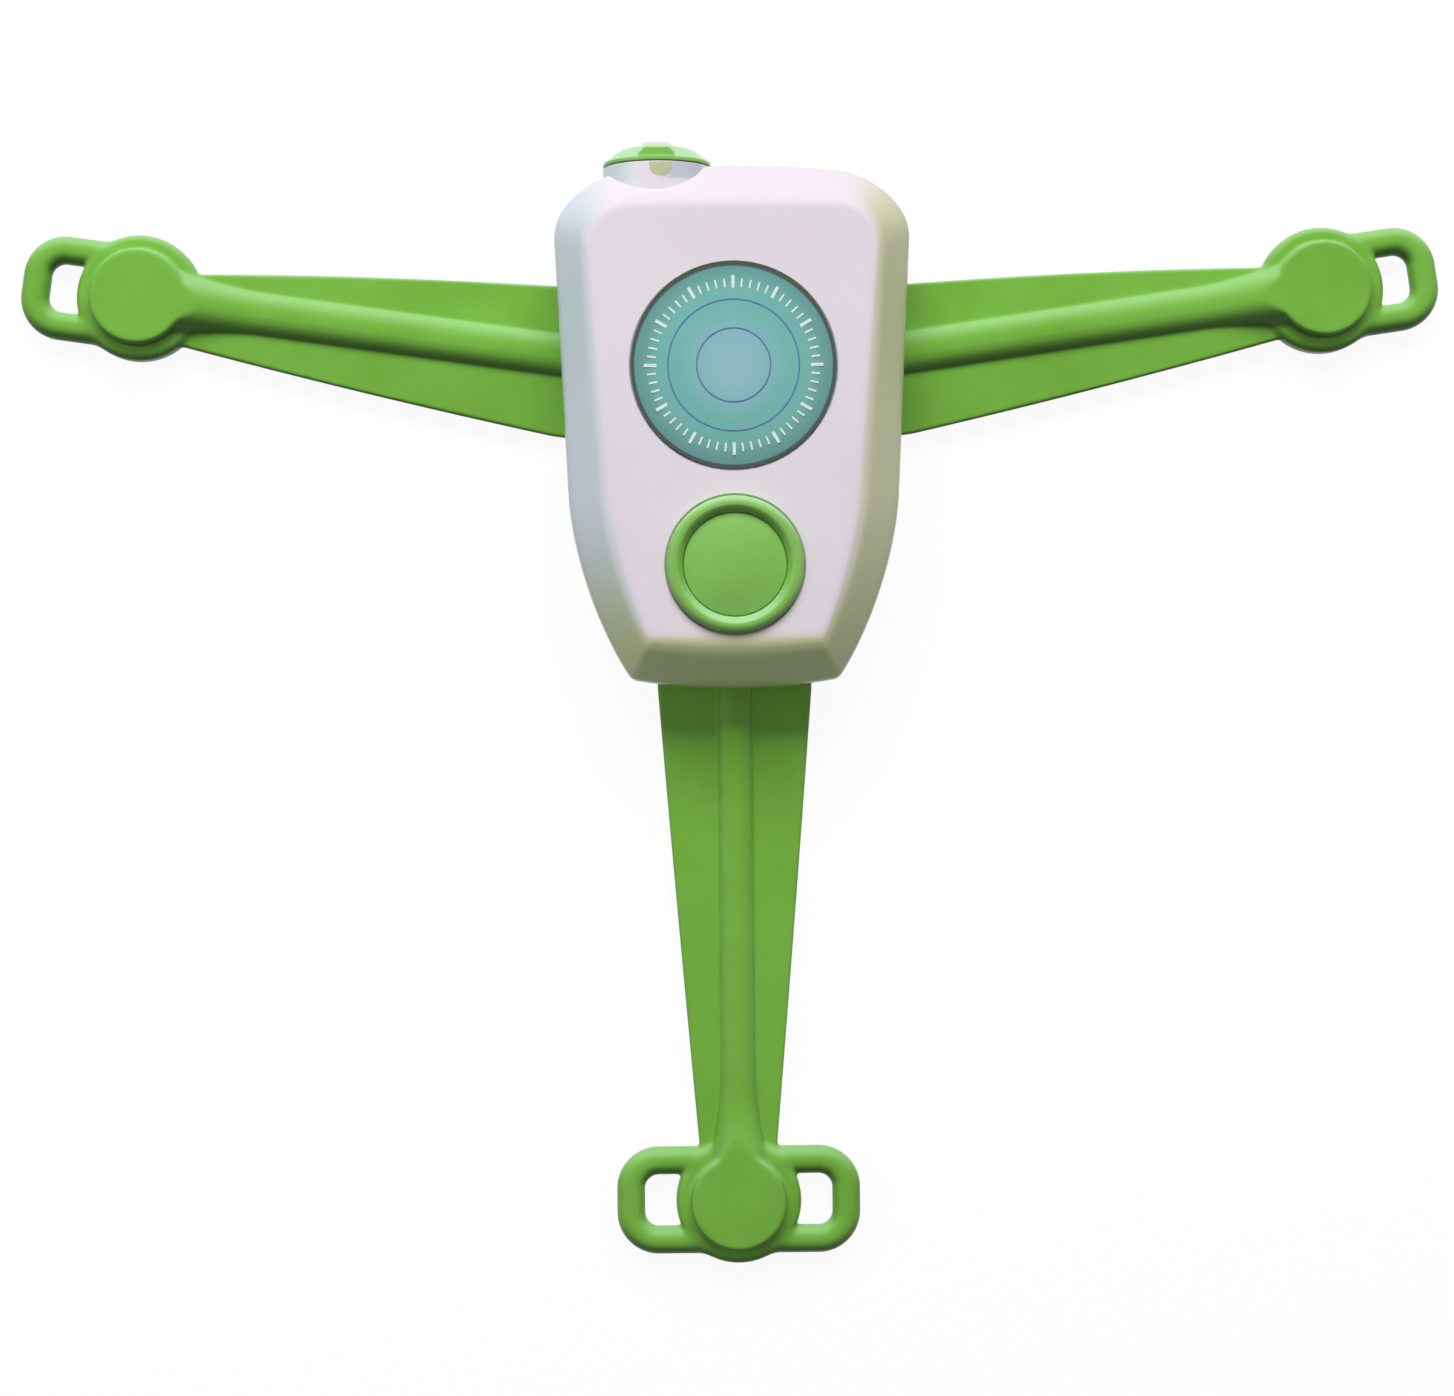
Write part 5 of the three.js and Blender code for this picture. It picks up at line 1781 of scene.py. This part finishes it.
def make_arms() -> list[SiliconeArm]:
    """The three arms, from where they leave the housing.

    Returns:
        Left, right and lower.
    """
    upper, under, even = (12.5, 5.3, 0.6), (14.4, 7.4, 0.4), (13.8, 6.75, 0.1)
    wall, rise = 30.378, 13.75
    tilt = math.radians(8.2)
    quarter = math.pi / 2
    return [
        SiliconeArm(Side.LEFT, -wall, rise, math.pi - tilt, 76.2, under, upper, (0,), 21.2, 9.3),
        SiliconeArm(Side.RIGHT, wall, rise, tilt, 76.2, upper, under, (0,), 21.2, 9.3),
        SiliconeArm(
            Side.LOWER, 0, -46.0, -quarter, 91.7, even, even, (quarter, -quarter), 21.8, 9.6, ridge_half=3.4,
        ),
    ]


class InnerParts:
    """The CAD pieces that keep their shape and get their real finishes."""

    GROUPS = {
        "seal": ("cover_seal", "cap_seal"),
        "board": ("main_board",),
        "component": ("tact_switch", "controller_chip", "memory_chip", "ecg_chip"),
        "inner_moulding": (
            "battery_tube", "switch_plunger",
            "left_lead_terminal", "right_lead_terminal", "lower_lead_terminal",
        ),
        "cell": ("battery_cell",),
        "steel": ("battery_spring",),
        "contact": (
            "battery_contact", "cap_contact", "left_snap_spring", "right_snap_spring", "lower_snap_spring",
        ),
        "lead": (
            "left_lead", "right_lead", "lower_lead", "left_lead_tail", "right_lead_tail", "lower_lead_tail",
        ),
    }

    def dress(self, finishes: Finishes) -> None:
        """Gives each kept node its material.

        Args:
            finishes: the materials.
        """
        for group, nodes in self.GROUPS.items():
            material = getattr(finishes, group)
            for name in nodes:
                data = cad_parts[name].data
                data.materials.clear()
                data.materials.append(material)
            log.info("%s: %d nodes dressed", group, len(nodes))


@dataclass
class Studio:
    """A pale floor, soft lamps and the camera of the photograph."""

    image_width: int = 1454
    focal_pixels: float = 3200.0
    camera_place: tuple[float, float, float] = (-8.2, -46.8, 577.0)
    pitch: float = 0.09
    yaw: float = 0.68
    roll: float = 0.47
    floor_z: float = -0.05
    floor_size: float = 3000.0
    world_light: float = 0.13
    card_colour: str = "#565656"
    card_glow: float = 0.93
    key_place: tuple[float, float, float] = (-0.03, 0.83, 0.745)
    key_size: tuple[float, float] = (1.0, 0.54)
    aim: tuple[float, float, float] = (0, -0.03, 0)

    def build(self) -> None:
        """Builds the camera, the lamps, the world and the floor."""
        self.camera()
        self.lamp("key", self.key_place, self.key_size, 11.2, gleams=False)
        self.lamp("gleam", self.key_place, self.key_size, 3.2)
        self.lamp("fill_left", (-0.5, 0.0, 0.36), (0.5, 0.5), 0.6)
        self.lamp("fill_right", (0.5, 0.0, 0.36), (0.5, 0.5), 0.3)
        self.world()
        self.floor()

    def camera(self) -> None:
        """Places the camera where the photograph was taken from."""
        data = bpy.data.cameras.new("photo_camera")
        data.sensor_fit = "HORIZONTAL"
        data.sensor_width = 36.0
        data.lens = data.sensor_width * self.focal_pixels / self.image_width
        data.clip_start = 0.01
        data.clip_end = 20.0
        camera = bpy.data.objects.new("photo_camera", data)
        turn = (
            Matrix.Rotation(math.radians(self.roll), 4, "Z")
            @ Matrix.Rotation(math.radians(self.yaw), 4, "Y")
            @ Matrix.Rotation(math.radians(self.pitch), 4, "X")
        )
        camera.matrix_world = Matrix.Translation(Vector(self.camera_place) * MM) @ turn.transposed()
        bpy.context.scene.collection.objects.link(camera)
        bpy.context.scene.camera = camera

    def lamp(
        self, name: str, place: Sequence[float], size: Sequence[float], power: float, gleams: bool = True,
    ) -> None:
        """Adds a soft rectangular lamp that faces the recorder.

        Args:
            name: the lamp's name.
            place: where it hangs, in metres.
            size: its width and height, in metres.
            power: its power in watts.
            gleams: whether gloss mirrors it; the key doesn't, as it would whiten the plateau.
        """
        data = bpy.data.lights.new(name, "AREA")
        data.shape = "RECTANGLE"
        data.size, data.size_y = size
        data.energy = power
        lamp = bpy.data.objects.new(name, data)
        lamp.location = place
        lamp.visible_glossy = gleams
        lamp.rotation_euler = (Vector(self.aim) - Vector(place)).to_track_quat("-Z", "Y").to_euler()
        bpy.context.scene.collection.objects.link(lamp)

    def shown_white(self, tree: bpy.types.NodeTree) -> Any:
        """A socket that is 1 for rays that show the background, and 0 for the light on the recorder."""
        path = add_node(tree, "ShaderNodeLightPath").outputs
        seen = calculated(tree, "MAXIMUM", path["Is Camera Ray"], path["Is Glossy Ray"])
        return calculated(tree, "MAXIMUM", seen, path["Is Transmission Ray"])

    def world(self) -> None:
        """A white world to the eye, with a lower level of light on the recorder."""
        world = bpy.data.worlds.new("studio")
        bpy.context.scene.world = world
        world.use_nodes = True
        tree = world.node_tree
        background = tree.nodes["Background"]
        level = add_node(tree, "ShaderNodeMapRange", inputs={
            "Value": self.shown_white(tree), "To Min": self.world_light, "To Max": 1.0,
        })
        background.inputs["Color"].default_value = linear("#FFFFFF")
        tree.links.new(level.outputs[0], background.inputs["Strength"])

    def floor(self) -> None:
        """A white sweep under the recorder that keeps its shadow."""
        half = self.floor_size / 2
        corners = np.array([(-half, -half), (half, -half), (half, half), (-half, half)])
        mesh = bpy.data.meshes.new("floor")
        mesh.from_pydata([(x * MM, y * MM, self.floor_z * MM) for x, y in corners], [], [(0, 1, 2, 3)])
        material = bpy.data.materials.new("matt_card_white")
        material.use_nodes = True
        tree = material.node_tree
        tree.nodes.clear()
        card = add_node(tree, "ShaderNodeBsdfDiffuse", inputs={"Color": linear(self.card_colour)})
        level = calculated(tree, "MULTIPLY", self.shown_white(tree), self.card_glow)
        glow = add_node(tree, "ShaderNodeEmission", inputs={"Strength": level})
        both = add_node(tree, "ShaderNodeAddShader", inputs={0: card.outputs[0], 1: glow.outputs[0]})
        add_node(tree, "ShaderNodeOutputMaterial", inputs={"Surface": both.outputs[0]})
        mesh.materials.append(material)
        floor = bpy.data.objects.new("floor", mesh)
        bpy.context.scene.collection.objects.link(floor)


def main() -> None:
    """Builds the recorder's pieces in order, and logs how many faces each new piece has."""
    logging.basicConfig(level=logging.INFO, format="%(name)s %(message)s")
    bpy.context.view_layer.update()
    scene = bpy.context.scene
    scene.view_settings.view_transform = "Standard"
    Studio().build()
    finishes = Finishes()
    housing = Housing()
    arms = make_arms()
    housing.front([arm.notch(housing) for arm in arms], finishes)
    housing.rear(finishes)
    housing.screws(finishes)
    housing.painted_bar_shadow(finishes)
    DomedLabel().build(finishes)
    EventButton().build(finishes)
    BatteryCap().build(finishes)
    for arm in arms:
        arm.build(housing, finishes)
    InnerParts().dress(finishes)


if __name__ == "__main__":
    main()
